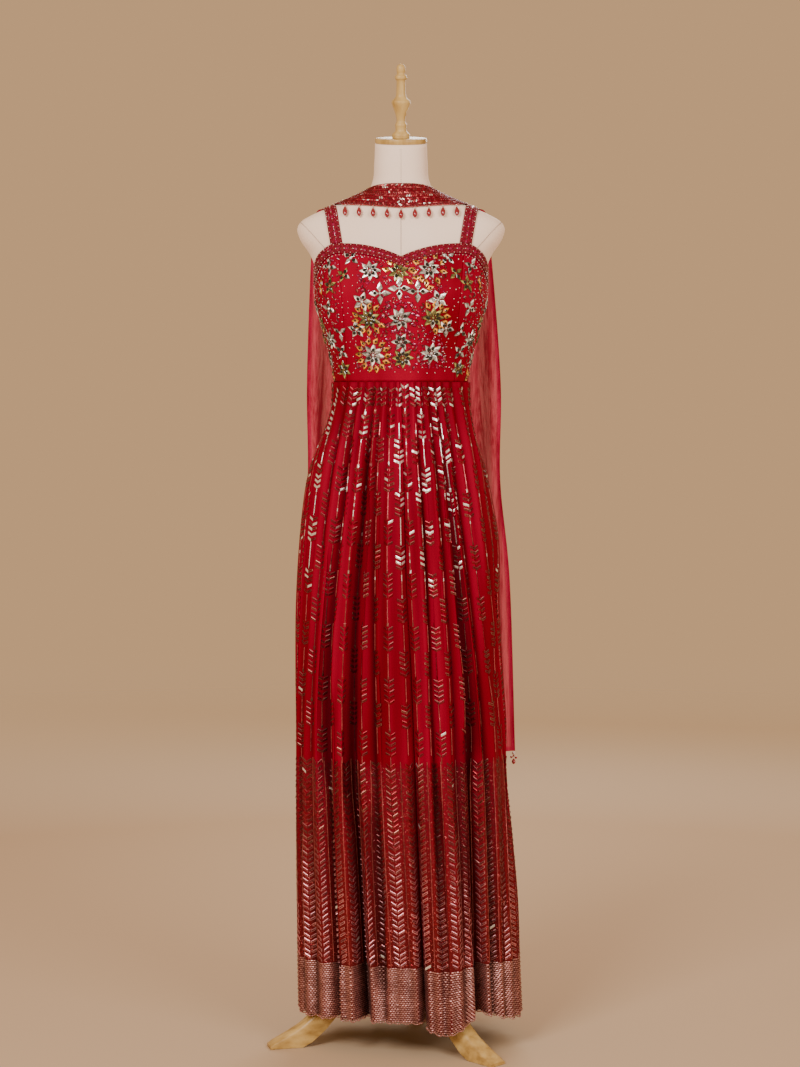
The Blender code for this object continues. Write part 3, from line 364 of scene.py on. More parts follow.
def torso_angle(x, z):
    """Angle from the front at which the form's ring at this height reaches x."""
    angles = np.linspace(-math.pi / 2, math.pi / 2, 181)
    return np.interp(x, torso_point(angles, np.full_like(angles, z))[:, 0], angles)


def panel_angle(place, z, back):
    """Angle of a panel place at a height: 0 middle, 2 side seam, and 1 in front a princess seam."""
    if back:
        return math.pi - place * math.pi / 4
    seam = torso_angle(read(PRINCESS_SEAM, z), z)
    far = abs(place)
    angle = far * seam if far <= 1 else seam + (far - 1) * (math.pi / 2 - seam)
    return math.copysign(angle, place)


def top_edge(place, back):
    return float(read(BACK_EDGE if back else FRONT_EDGE, abs(place)))


def edge_above(angle, z, back):
    """Height of the bodice's top edge over a point, its angle taken from the face's middle."""
    turn = abs(angle)
    if back:
        return top_edge(turn / (math.pi / 4), True)
    seam = panel_angle(1, z, False)
    return top_edge(turn / seam if turn < seam else 1 + (turn - seam) / (math.pi / 2 - seam), False)


def band_edges(angle):
    """Lower and upper heights of the neck band at an angle round the neck."""
    turn = abs((math.degrees(angle) + 180) % 360 - 180)
    return float(read(NECK_BAND, turn)), float(read(NECK_BAND, turn, 2))


def band_heights(angles, share):
    """Heights at a share of the way up the neck band."""
    return np.array([low + share * (high - low) for low, high in map(band_edges, angles)])


def leg_base(bearing, z, side, face):
    """Outermost curve of the legs at a height: bearing 0 in the middle, 90 degrees at the side."""
    middle = read(LEG_DEPTH, z)
    edge = read(LEG_OUTLINE, z, 1 if side == "left" else 2)
    depth = read(LEG_DEPTH, z, 2 if face == "front" else 3)
    hung_x = middle + (edge - middle) * np.sin(bearing)
    hung_y = FACES[face] * depth * np.cos(bearing) ** LEG_FLATNESS
    around = SIDES[side] * bearing if face == "front" else math.pi - SIDES[side] * bearing
    worn = torso_surface(around, z, WAIST_FULLNESS)[..., :2]
    share = ease((WAIST_Z - z) / (WAIST_Z - WAIST_SHAPE_ENDS_Z))[..., None]
    return worn * (1 - share) + np.stack([hung_x, hung_y], axis=-1) * share


def fold_columns(z, side, face):
    """Bearings of a panel's columns at a height, and how far each stands from the base curve."""
    sample = np.linspace(0, math.pi / 2, 121)
    curve = leg_base(sample, np.full_like(sample, z), side, face)[:, 0]
    away = np.abs(curve - curve[0])
    push_share = ease((PUSH_STARTS_Z - z) / (PUSH_STARTS_Z - FOLD_HEIGHTS[-1]))
    between = ease((1.09 - z) / 0.10) * (0.4 + 0.6 * ease((z - 0.10) / 0.30))
    valleys = []
    for fold, strength in zip(FOLDS[side, face], FOLD_STRENGTH[side, face]):
        depth = smooth(z, FOLD_HEIGHTS, fold[4:8]) * (1 + (strength - 1) * between)
        bearing = np.interp(abs(smooth(z, FOLD_HEIGHTS, fold[:4]) - curve[0]), away, sample)
        valleys.append((bearing, depth, fold[8] * push_share))
    valleys.append((0.0, smooth(z, FOLD_HEIGHTS, SPLIT_DEPTH[face]), valleys[-1][2] / 2))
    side_bearing = math.pi / 2 + (valleys[0][0] - math.pi / 2) * SIDE_FOLD_PLACE
    side_depth = smooth(z, FOLD_HEIGHTS, SIDE_FOLD_DEPTH)
    valleys.insert(0, (side_bearing, side_depth, 0.0))
    bearings = [math.pi / 2, (math.pi / 2 + side_bearing) / 2, side_bearing]
    offsets = [0.0, -QUARTER_DEPTH * side_depth, -side_depth]
    for (a, deep_a, push_a), (b, deep_b, push_b) in zip(valleys, valleys[1:]):
        dips = (QUARTER_DEPTH * deep_a, 0.0, QUARTER_DEPTH * deep_b, deep_b)
        for share, dip in zip((0.25, 0.50, 0.75, 1.00), dips):
            bearings.append(a + (b - a) * share)
            offsets.append(push_a + (push_b - push_a) * share - dip)
    return np.array(bearings), np.array(offsets)


def leg_row(z, side, face):
    """One row of a panel: outer seam, folds, middle, then the inner face to the inseam."""
    bearings, offsets = fold_columns(z, side, face)
    heights = np.full_like(bearings, z)
    moved = [np.clip(bearings + step, 0, math.pi / 2) for step in (0.0, -0.002, 0.002)]
    here, behind, beyond = (leg_base(bearing, heights, side, face) for bearing in moved)
    tangent = beyond - behind
    normal = unit(np.stack([-tangent[:, 1], tangent[:, 0]], axis=-1))
    middle = read(LEG_DEPTH, z)
    normal *= np.sign(np.sum(normal * (here - np.array([middle, 0.0])), axis=-1, keepdims=True))
    row = here + normal * offsets[:, None]
    split = max(read(LEG_DEPTH, z, 4) / 2 * SPLIT_SHARE, HALF_GAP)
    row[-1, 0] = middle + SIDES[side] * split
    row[0, 1] = FACES[face] * HALF_GAP
    x, y = row[-1]
    bulge = max(INNER_FACE_BULGE * ease((CROTCH_Z - z) / CROTCH_Z * 4), POLE_CLEAR_X - middle)
    inner = [(x + bulge * (1 - share**2), y * share) for share in INNER_FACE_STEPS]
    return np.concatenate([row, [*inner, (x + bulge, FACES[face] * HALF_GAP)]])


def drape_point(share, z):
    """Hanging part of the drape: share -1 at its left edge, 1 at its right edge."""
    half, behind, curve = (read(DRAPE, z, k) for k in (1, 2, 3))
    wave = np.cos(math.pi * DRAPE_FOLDS * share)
    sway = 0.0035 * np.sin(z * 23.0 + 1.2 * np.sign(share)) + 0.0020 * np.sin(z * 61.0 + 2.0 * share)
    far = np.abs(share) ** 3
    x = read(DRAPE_SHIFT, z) + half * share + sway * far * ease((1.36 - z) / 0.2)
    y = behind - curve * far + read(DRAPE_FOLD_DEPTH, z) * wave
    return np.stack([x, y, np.broadcast_to(z, x.shape)], axis=-1)


def drape_top(share, half_span, lift, offset):
    """Gathered top of the drape, over the back of the neck band and the shoulders."""
    angles = math.pi - share * math.radians(half_span)
    deep = DRAPE_FOLD_DEPTH[0][1] * (0.5 + 0.5 * np.cos(math.pi * DRAPE_FOLDS * share))
    return torso_surface(angles, band_heights(angles, 0.0) + lift, offset + deep)


# Meshes from grids


def catmull_rom(points, steps):
    """A grid with smooth columns added between its columns."""
    before = 2 * points[:, :1] - points[:, 1:2]
    after = 2 * points[:, -1:] - points[:, -2:-1]
    ends = np.concatenate([before, points, after], axis=1)
    a, b, c, d = ends[:, :-3], ends[:, 1:-2], ends[:, 2:-1], ends[:, 3:]
    parts = []
    for t in np.arange(steps) / steps:
        bend = (2 * a - 5 * b + 4 * c - d) * t * t + (3 * b - a - 3 * c + d) * t**3
        parts.append(0.5 * (2 * b + (c - a) * t + bend))
    fine = np.stack(parts, axis=2).reshape(points.shape[0], -1, points.shape[2])
    return np.concatenate([fine, points[:, -1:]], axis=1)


def grid_normals(grid):
    """Unit normals of a grid, across times down."""
    return unit(np.cross(np.gradient(grid, axis=1), np.gradient(grid, axis=0)))


def grid_faces(shape, kept=True, closed=False, flip=False):
    """Four-sided faces over a grid's points."""
    rows, columns = shape[:2]
    cells = np.ones((rows - 1, columns if closed else columns - 1), dtype=bool) & kept
    row, col = np.nonzero(cells)
    after = (col + 1) % columns
    corners = [row * columns + col, row * columns + after]
    corners += [(row + 1) * columns + after, (row + 1) * columns + col]
    faces = np.stack(corners, axis=1)
    return faces[:, ::-1] if flip else faces


def new_piece(name, mesh, look, smooth_faces, stand_for):
    """An object riding on the part's only body."""
    mesh.polygons.foreach_set("use_smooth", [smooth_faces] * len(mesh.polygons))
    mesh.materials.append(look)
    mesh.update()
    piece = bpy.data.objects.new(name, mesh)
    bpy.context.scene.collection.objects.link(piece)
    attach(piece, "root")
    if stand_for:
        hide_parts(*stand_for)
    return piece


def add_piece(name, vertices, faces, look, colours=None, flat=False, stand_for=(), slot=None):
    """A mesh object about the pole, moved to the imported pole, its points painted if colours are given."""
    used, places = np.unique(faces, return_inverse=True)
    mesh = bpy.data.meshes.new(name)
    points = np.asarray(vertices, dtype=float).reshape(-1, 3)[used] + POLE
    mesh.from_pydata(points.tolist(), [], places.reshape(faces.shape).tolist())
    if colours is not None:
        layer = mesh.color_attributes.new("tint", "FLOAT_COLOR", "POINT")
        rgba = np.ones((len(used), 4), dtype=np.float32)
        rgba[:, :3] = np.asarray(colours).reshape(-1, 3)[used]
        layer.data.foreach_set("color", rgba.ravel())
    return new_piece(name, mesh, look, not flat, stand_for)


def add_cloth(node, grid, look, slot, wall, tint=None, **options):
    """A shell of cloth on a node's form, thickened inwards by its wall."""
    faces = grid_faces(grid.shape, **options)
    piece = add_piece(f"cloth_{node}", grid, faces, look, tint, stand_for=(node,), slot=slot)
    if wall:
        solid = piece.modifiers.new("thickness", "SOLIDIFY")
        solid.thickness = wall
        solid.offset = -1.0
    return piece


def declare_cloth(grid, with_pieces, kept=None):
    """Measure a cloth's flat spans along its folds and its cells' areas; nothing is done with them."""
    across = np.linalg.norm(np.diff(grid, axis=1), axis=-1)
    down = np.linalg.norm(np.diff(grid, axis=0), axis=-1)
    cells = (across[1:] + across[:-1]) / 2 * (down[:, 1:] + down[:, :-1]) / 2
    if kept is not None:
        cells = cells * kept
        across = across * np.concatenate([kept[:1], kept])


class Heap:
    """Many copies of small shapes, gathered into one mesh."""

    def __init__(self):
        self.vertices, self.faces, self.colours = [], [], []
        self.count = 0

    def add(self, shape, places, normals, up, scale, colours):
        """A copy of the shape at each place, its y axis along up and its z axis along the normal."""
        corners, triangles, shades = shape
        places = np.asarray(places, dtype=float).reshape(-1, 3)
        number = len(places)
        if not number:
            return
        rows = [np.asarray(row, dtype=float) for row in (normals, up, scale, colours)]
        normals, up, scale, colours = (np.broadcast_to(row, (number, 3)) for row in rows)
        normals = unit(normals)
        up = unit(up - normals * np.sum(up * normals, axis=-1, keepdims=True))
        right = np.cross(up, normals)
        local = corners[None] * scale[:, None]
        points = places[:, None] + local[..., 0:1] * right[:, None]
        points = points + local[..., 1:2] * up[:, None] + local[..., 2:3] * normals[:, None]
        self.vertices.append(points.reshape(-1, 3))
        starts = self.count + np.arange(number) * len(corners)
        self.faces.append((starts[:, None, None] + triangles[None]).reshape(-1, 3))
        # Colour of each copy times its shape's painted light and shade at each corner
        self.colours.append((colours[:, None] * shades[None, :, None]).reshape(-1, 3))
        self.count += number * len(corners)

    def build(self, name, look, flat=True, **options):
        vertices, faces = np.concatenate(self.vertices), np.concatenate(self.faces)
        return add_piece(name, vertices, faces, look, np.concatenate(self.colours), flat, **options)


# Small shapes: corners, triangles and each corner's brightness, painted light and shade where it is not 1


def new_shape(corners, triangles, shades=None):
    corners = np.array(corners, dtype=float)
    shades = np.ones(len(corners)) if shades is None else np.array(shades, dtype=float)
    return corners, np.array(triangles), shades


def slanted_plate(length, rise, breadth, crown=0.0005):
    """Sequin: a parallelogram that rises to the right, its middle a little proud."""
    half, up, wide = length / 2, rise / 2, breadth / 2
    corners = [(-half, -up - wide, 0), (half, up - wide, 0), (half, up + wide, 0), (-half, wide - up, 0)]
    return new_shape([*corners, (0, 0, crown)], [(0, 1, 4), (1, 2, 4), (2, 3, 4), (3, 0, 4)])


def holed_plate(length, rise, breadth, crown=0.0005, rim=0.30):
    """The same parallelogram as a frame round a hole; the rim is a share of its breadth."""
    outer = slanted_plate(length, rise, breadth, crown)[0][:4]
    shrink, narrow = 1 - 2 * rim * breadth / length, 1 - 2 * rim
    inner = []
    for x, y, _ in outer:
        slope = rise * x / length
        inner.append((x * shrink, slope * shrink + (y - slope) * narrow, crown))
    return new_shape([*outer, *inner], ring_faces(2, 4))


def mirrored(shape):
    corners, triangles, shades = shape
    return corners * np.array([-1.0, 1.0, 1.0]), triangles[:, ::-1], shades


def bugle(width, length, height):
    """Long bead lying along y."""
    x, y = width / 2, length / 2
    corners = [(-x, -y, 0), (x, -y, 0), (x, y, 0), (-x, y, 0), (0, -y, height), (0, y, height)]
    return new_shape(corners, [(1, 2, 5), (1, 5, 4), (3, 0, 4), (3, 4, 5), (0, 1, 4), (2, 3, 5)])


def ring_faces(levels, number):
    """Triangles between rings of equally many points."""
    faces = []
    for low in range(0, (levels - 1) * number, number):
        high = low + number
        for k in range(number):
            after = (k + 1) % number
            faces += [(low + k, low + after, high + after), (low + k, high + after, high + k)]
    return faces


def ringed_shape(rings, top, shades):
    """Closed-topped shape from rings of equally many points; top is its last point."""
    number = len(rings[0])
    corners = [point for ring in rings for point in ring] + [top]
    last = (len(rings) - 1) * number
    triangles = ring_faces(len(rings), number)
    triangles += [(last + k, last + (k + 1) % number, len(corners) - 1) for k in range(number)]
    tones = [shades[level] for level in range(len(rings)) for _ in range(number)] + [shades[-1]]
    return new_shape(corners, triangles, tones)


def circle_ring(radius, height, sides):
    turns = [2 * math.pi * k / sides for k in range(sides)]
    return [(radius * math.cos(a), radius * math.sin(a), height) for a in turns]


def kite_shape():
    """Pointed petal one unit long and one wide, cut in facets with painted light and shade, bright on the
    left.
    """
    outline = ((0, -0.5), (0.5, -0.12), (0.27, 0.24), (0, 0.5), (-0.27, 0.24), (-0.5, -0.12))
    levels = ((1, 0), (0.84, 0.42))
    rings = [[(x * share, y * share, height) for x, y in outline] for share, height in levels]
    corners, triangles, _ = ringed_shape(rings, (0, -0.1, 1.0), [1, 1, 1])
    # Painted light and shade per facet: dark rim, dark right side, bright left side as if lit from there
    rim = (0.05, 0.08, 0.05, 0.45, 0.70, 0.25)
    tones = [*np.repeat(rim, 2), 0.62, 0.26, 0.50, 1.35, 1.60, 1.10]
    return corners[triangles].reshape(-1, 3), np.arange(triangles.size).reshape(-1, 3), np.repeat(tones, 3)


def ball_shape(sides=10, rings=6):
    """Ball of radius 1."""
    tilts = [-math.pi / 2 + math.pi * (k + 0.5) / rings for k in range(rings)]
    levels = [circle_ring(math.cos(tilt), math.sin(tilt), sides) for tilt in tilts]
    corners, triangles, shades = ringed_shape(levels, (0, 0, 1), [1.0] * (rings + 1))
    closing = [((k + 1) % sides, k, len(corners)) for k in range(sides)]
    corners = np.concatenate([corners, [(0, 0, -1)]])
    return corners, np.concatenate([triangles, closing]), np.append(shades, 1.0)


def teardrop_shape(sides=14):
    """Pear-shaped drop one unit long along y, its point at the top."""
    profile = ((0.0, 0.0), (0.04, 0.36), (0.13, 0.66), (0.28, 0.93), (0.42, 1.0), (0.58, 0.88))
    profile += ((0.74, 0.60), (0.88, 0.30), (0.97, 0.12), (1.0, 0.0))
    rings = [circle_ring(radius, height, sides) for height, radius in profile]
    corners = [(x, height, -y) for ring in rings for x, y, height in ring]
    return new_shape(corners, ring_faces(len(profile), sides))


# Painted shade round the foot of a dome and a stone, and a painted highlight on a stone's top
DOME = ringed_shape([circle_ring(1, 0, 6), circle_ring(0.75, 0.62, 6)], (0, 0, 0.95), (0.7, 1.0, 1.0))
STONE = ringed_shape([circle_ring(1, 0, 8), circle_ring(0.62, 0.6, 8)], (0, 0, 0.66), (0.45, 1.0, 1.1))
KITE = kite_shape()
BALL = ball_shape()
TEARDROP = teardrop_shape()


def tilted(normals, up, amount, random):
    """Normals leaning a little at random."""
    lean = random.normal(0, amount, (len(normals), 2))
    return unit(normals + np.cross(up, normals) * lean[:, :1] + up * lean[:, 1:])


def way_along(line):
    return np.concatenate([[0], np.cumsum(np.linalg.norm(np.diff(line, axis=0), axis=1))])


def along_line(line, spacing, start=0.5):
    """Evenly spaced places on a line, as fractional indexes."""
    way = way_along(line)
    return np.interp(np.arange(spacing * start, way[-1], spacing), way, np.arange(len(line)))


def taken(values, index):
    """Rows of an array read at fractional indexes."""
    low = np.clip(index.astype(int), 0, len(values) - 2)
    share = (index - low)[:, None]
    return values[low] * (1 - share) + values[low + 1] * share


def bead_line(heap, shape, line, normals, spacing, scale, colours, lift=0.0, start=0.5):
    """Copies of a shape along a line, their y axis along it; colours are used in turn."""
    index = along_line(line, spacing, start)
    outward = unit(taken(normals, index))
    tangent = unit(taken(np.gradient(line, axis=0), index))
    colours = np.array(colours, dtype=float)
    picked = colours[np.arange(len(index)) % len(colours)]
    heap.add(shape, taken(line, index) + outward * lift, outward, tangent, scale, picked)


def picked_tones(random, tones, number):
    """One of the tones for each of a number of copies."""
    return np.array(tones)[random.integers(0, len(tones), number)]


def varied(colour, number, random, amount=0.3):
    return np.array(colour) * random.uniform(1 - amount, 1 + amount, number)[:, None]


# Materials


def connect(tree, node, inputs):
    """Link a node's inputs from other sockets, or set them to values."""
    for key, value in inputs.items():
        if isinstance(value, bpy.types.NodeSocket):
            tree.links.new(value, node.inputs[key])
        else:
            node.inputs[key].default_value = value


def add_node(tree, kind, inputs, output=0, **settings):
    """A shader node; returns one of its outputs."""
    node = tree.nodes.new(f"ShaderNode{kind}")
    for key, value in settings.items():
        setattr(node, key, value)
    connect(tree, node, inputs)
    return node.outputs[output]


def new_look(name, colour, roughness, **inputs):
    """A Principled material; returns it with its node tree and shader."""
    look = bpy.data.materials.new(name)
    look.use_nodes = True
    shader = look.node_tree.nodes["Principled BSDF"]
    plain = {"Base Color": (*colour, 1.0), "Roughness": roughness}
    named = {key.replace("_", " "): value for key, value in inputs.items()}
    connect(look.node_tree, shader, {**plain, **named})
    return look, look.node_tree, shader


def object_place(tree):
    return add_node(tree, "TexCoord", {}, "Object")


def stretched_noise(tree, scale, stretch=(1.0, 1.0, 1.0), detail=2.0):
    """Noise over the object's own metres, stretched along each axis."""
    place = add_node(tree, "Mapping", {"Vector": object_place(tree), "Scale": stretch})
    return add_node(tree, "TexNoise", {"Vector": place, "Scale": scale, "Detail": detail}, "Fac")


def ramp(tree, source, *stops):
    """Colour ramp over a source value."""
    node = tree.nodes.new("ShaderNodeValToRGB")
    elements = node.color_ramp.elements
    while len(elements) < len(stops):
        elements.new(0.5)
    for element, (place, colour) in zip(elements, stops):
        element.position = place
        element.color = (*colour, 1.0)
    connect(tree, node, {"Fac": source})
    return node.outputs["Color"]


def mixed(tree, factor, first, second, mode="MIX"):
    return add_node(tree, "Mix", {0: factor, 6: first, 7: second}, 2, data_type="RGBA", blend_type=mode)


def maths(tree, operation, *values):
    return add_node(tree, "Math", dict(enumerate(values)), operation=operation)


def spread(tree, source, low, high, least=0.0, most=1.0):
    """A value's range turned into another range."""
    names = ("Value", "From Min", "From Max", "To Min", "To Max")
    return add_node(tree, "MapRange", dict(zip(names, (source, low, high, least, most))), "Result")


def axis(tree, name):
    return add_node(tree, "SeparateXYZ", {"Vector": object_place(tree)}, name)


def painted(tree):
    return add_node(tree, "VertexColor", {}, "Color", layer_name="tint")


def add_bump(tree, shader, source, strength, distance):
    inputs = {"Strength": strength, "Distance": distance, "Height": source}
    connect(tree, shader, {"Normal": add_node(tree, "Bump", inputs, "Normal")})


def weave(tree, pitch):
    """Height of a plain weave: threads running up and across at the given pitch."""
    inputs = {"Vector": object_place(tree), "Scale": 1 / (pitch * 20), "Distortion": 0.6}
    waves = [add_node(tree, "TexWave", inputs, "Fac", bands_direction=way) for way in ("X", "Z")]
    return maths(tree, "MAXIMUM", *waves)


def red_cloth_look():
    """Bright red georgette, duller below the knee where the embroidery lies close."""
    look, tree, shader = new_look("red_georgette", (0.40, 0.0, 0.016), 0.6, Specular_IOR_Level=0.04)
    mottled = stretched_noise(tree, 13.0, (1.0, 1.0, 0.10))
    cloth = ramp(tree, mottled, (0.36, (0.18, 0.0, 0.010)), (0.62, (0.28, 0.0, 0.020)))
    height = spread(tree, axis(tree, "Z"), 0.05, 1.25)
    stops = ((0.07, (0.12, 0.010, 0.010)), (0.16, (0.15, 0.007, 0.011)), (0.35, (0.20, 0.005, 0.016)))
    above = ramp(tree, height, (0.364, (0.0, 0.0, 0.0)), (0.372, (1.0, 1.0, 1.0)))
    tint = mixed(tree, above, ramp(tree, height, *stops), cloth)
    # The points' painted colour multiplies the cloth: fold shade on the legs, a brighter tint on the bodice
    connect(tree, shader, {"Base Color": mixed(tree, 1.0, tint, painted(tree), "MULTIPLY")})
    add_bump(tree, shader, weave(tree, 0.0007), 0.25, 0.0003)
    return look


def net_look(name, least, most, glow):
    """Sheer red net, finely crinkled, that covers what is behind it by a varying share, and glows as
    painted light.
    """
    look, tree, shader = new_look(name, (0.60, 0.03, 0.06), 0.6, Specular_IOR_Level=0.2)
    streaks = stretched_noise(tree, 420.0, (1.0, 1.0, 0.06), 4.0)
    gathers = stretched_noise(tree, 75.0, (1.0, 1.0, 0.035), 1.0)
    both = maths(tree, "MULTIPLY_ADD", streaks, 0.5, maths(tree, "MULTIPLY", gathers, 0.5))
    tint = ramp(tree, both, (0.40, (0.45, 0.006, 0.050)), (0.60, (0.26, 0.002, 0.018)))
    cover = spread(tree, both, 0.40, 0.60, least, most)
    closer = spread(tree, maths(tree, "ABSOLUTE", axis(tree, "X")), 0.06, 0.13, 0.74, 1.0)
    shown = maths(tree, "MULTIPLY", cover, closer)
    # Painted light: a glow in the net's own colour stands in for light passing through it
    glowing = {"Emission Color": tint, "Emission Strength": glow}
    connect(tree, shader, {"Base Color": tint, **glowing, "Alpha": shown})
    add_bump(tree, shader, streaks, 0.4, 0.0006)
    return look


def border_look(name, dark, light):
    """Red ground under the beadwork, mottled from dark to light."""
    look, tree, shader = new_look(name, light, 0.6, Specular_IOR_Level=0.1)
    grain = stretched_noise(tree, 420.0, detail=3.0)
    connect(tree, shader, {"Base Color": ramp(tree, grain, (0.35, dark), (0.65, light))})
    add_bump(tree, shader, grain, 0.6, 0.0006)
    return look


def linen_look():
    """Cream cloth of the dress form, fine and even."""
    look, tree, shader = new_look("form_linen", (0.74, 0.62, 0.52), 0.85, Sheen_Weight=0.15)
    mottled = stretched_noise(tree, 9.0, detail=3.0)
    tint = ramp(tree, mottled, (0.30, (0.96, 0.77, 0.63)), (0.70, (1.0, 0.83, 0.70)))
    connect(tree, shader, {"Base Color": tint})
    add_bump(tree, shader, weave(tree, 0.0008), 0.18, 0.0003)
    return look


def wood_look(name, stretch):
    """Varnished light wood with its grain along the stretched axis."""
    coat = {"Coat_Weight": 0.12, "Coat_Roughness": 0.25}
    look, tree, shader = new_look(name, (0.50, 0.28, 0.10), 0.38, Specular_IOR_Level=0.3, **coat)
    grain = stretched_noise(tree, 60.0, stretch, 6.0)
    stops = ((0.30, (0.31, 0.178, 0.045)), (0.50, (0.52, 0.335, 0.105)), (0.72, (0.65, 0.465, 0.17)))
    connect(tree, shader, {"Base Color": ramp(tree, grain, *stops)})
    add_bump(tree, shader, grain, 0.15, 0.0004)
    return look


def tinted_look(name, roughness, metallic, coat=0.0):
    """Small pieces whose colour is painted on each, with a faint unevenness."""
    settings = {"Metallic": metallic, "Coat_Weight": coat, "Coat_Roughness": 0.05}
    look, tree, shader = new_look(name, (0.5, 0.5, 0.5), roughness, **settings)
    specks = stretched_noise(tree, 900.0, detail=1.0)
    shade = ramp(tree, specks, (0.30, (0.75, 0.75, 0.75)), (0.70, (1.0, 1.0, 1.0)))
    connect(tree, shader, {"Base Color": mixed(tree, 1.0, painted(tree), shade, "MULTIPLY")})
    return look


RED_CLOTH = red_cloth_look()
# Nets: least and most cover, and strength of the painted glow
NET = net_look("sheer_net", 0.84, 0.98, 0.42)
NET_HEM = net_look("turned_net", 0.88, 0.98, 0.12)
BORDER = border_look("beaded_ground", (0.12, 0.001, 0.012), (0.26, 0.002, 0.024))
BAND = border_look("band_ground", (0.10, 0.001, 0.006), (0.22, 0.002, 0.014))
LINEN = linen_look()
WOOD_UPRIGHT = wood_look("wood_upright", (1.0, 1.0, 0.12))
SEQUIN = tinted_look("sequin_foil", 0.34, 0.75)
GEM = tinted_look("mirror_gem", 0.14, 0.30, coat=0.8)
BEAD = tinted_look("glass_bead", 0.15, 0.1, coat=1.0)
SEAM_THREAD = tinted_look("seam_thread", 0.9, 0.0)


# Dress form and stand

FORM_COLUMNS = 144
FORM_STEPS = 5
CAP_EDGE = 0.0015
HUB_EDGE = 0.003
# Angles in degrees beyond which a wooden edge stays sharp
TURNED_SHARP = 40
STAND_LEG_SHARP = 35


def build_form():
    """Padded form, closed above and below by fans of triangles."""
    columns = FORM_COLUMNS
    heights = column(TORSO, 0)
    fine = [np.linspace(a, b, FORM_STEPS, endpoint=False) for a, b in zip(heights, heights[1:])]
    heights = np.concatenate([*fine, heights[-1:]])[::-1]
    angles = np.linspace(0, 2 * math.pi, columns, endpoint=False)
    grid = np.array([torso_surface(angles, np.full_like(angles, z), -FORM_INSET) for z in heights])
    grid[-1, :, 2] = FORM_BOTTOM_Z
    grid[0, :, 2] = NECK_TOP_Z + grid[0, :, 1] * math.tan(NECK_TILT)
    vertices = np.concatenate([grid.reshape(-1, 3), [grid[0].mean(axis=0), grid[-1].mean(axis=0)]])
    top, bottom = len(vertices) - 2, len(vertices) - 1
    last = top - columns
    faces = grid_faces(grid.shape, closed=True).tolist()
    faces += [(top, (k + 1) % columns, k) for k in range(columns)]
    faces += [(bottom, last + k, last + (k + 1) % columns) for k in range(columns)]
    mesh = bpy.data.meshes.new("dress_form")
    mesh.from_pydata((vertices + POLE).tolist(), [], faces)
    new_piece("dress_form", mesh, LINEN, True, ("form_torso",))


def finish_wood(name, made, place, sharp, look, node):
    """A wooden piece from what was made, smooth up to a sharp angle in degrees."""
    bmesh.ops.recalc_face_normals(made, faces=made.faces)
    bmesh.ops.transform(made, matrix=Matrix.Translation(POLE) @ place, verts=made.verts)
    mesh = bpy.data.meshes.new(name)
    made.to_mesh(mesh)
    made.free()
    new_piece(name, mesh, look, True, (node,))
    mesh.set_sharp_from_angle(angle=math.radians(sharp))


def turned(name, profile, place, node, sides, steps=1):
    """Solid of revolution from (height, radius) pairs, smoothed between them by the steps."""
    made = bmesh.new()
    fine = catmull_rom(np.array([profile]), steps)[0]
    points = [made.verts.new((max(r, 0.0), 0.0, z)) for z, r in fine]
    line = [made.edges.new(pair) for pair in zip(points, points[1:])]
    whole = {"axis": (0, 0, 1), "cent": (0, 0, 0), "angle": 2 * math.pi, "use_merge": True}
    bmesh.ops.spin(made, geom=points + line, steps=sides, **whole)
    bmesh.ops.remove_doubles(made, verts=made.verts, dist=1e-6)
    bmesh.ops.holes_fill(made, edges=[e for e in made.edges if e.is_boundary], sides=sides)
    finish_wood(name, made, place, TURNED_SHARP, WOOD_UPRIGHT, node)


def rounded(low, high, radius, edge):
    """Profile of a disc with rounded rims."""
    rim = ((0, edge), (edge * 0.3, edge * 0.3), (edge, 0))
    foot = [(low + up, radius - inward) for up, inward in rim]
    return foot + [(high - down, radius - inward) for down, inward in rim[::-1]]


def build_wood():
    seat = Matrix.Translation((0, 0, NECK_TOP_Z)) @ Matrix.Rotation(NECK_TILT, 4, "X")
    upright = Matrix.Identity(4)
    cap = rounded(SEAM_GAP, CAP_THICKNESS, CAP_RADIUS, CAP_EDGE)
    turned("cap_disc", cap, seat, "neck_cap", sides=96)
    above = seat @ Matrix.Translation((0, 0, CAP_THICKNESS))
    turned("finial_turned", FINIAL, above, "finial", sides=48, steps=4)
    pole = ((HUB_TOP_Z + SEAM_GAP, POLE_RADIUS), (FORM_BOTTOM_Z - SEAM_GAP, POLE_RADIUS))
    turned("pole_turned", pole, upright, "stand_pole", sides=40)
    hub = rounded(HUB_BOTTOM_Z, HUB_TOP_Z, HUB_RADIUS, HUB_EDGE)
    turned("hub_turned", hub, upright, "stand_hub", sides=64)
    for side, azimuth in STAND_LEG_AZIMUTHS.items():
        build_stand_leg(side, math.radians(azimuth))


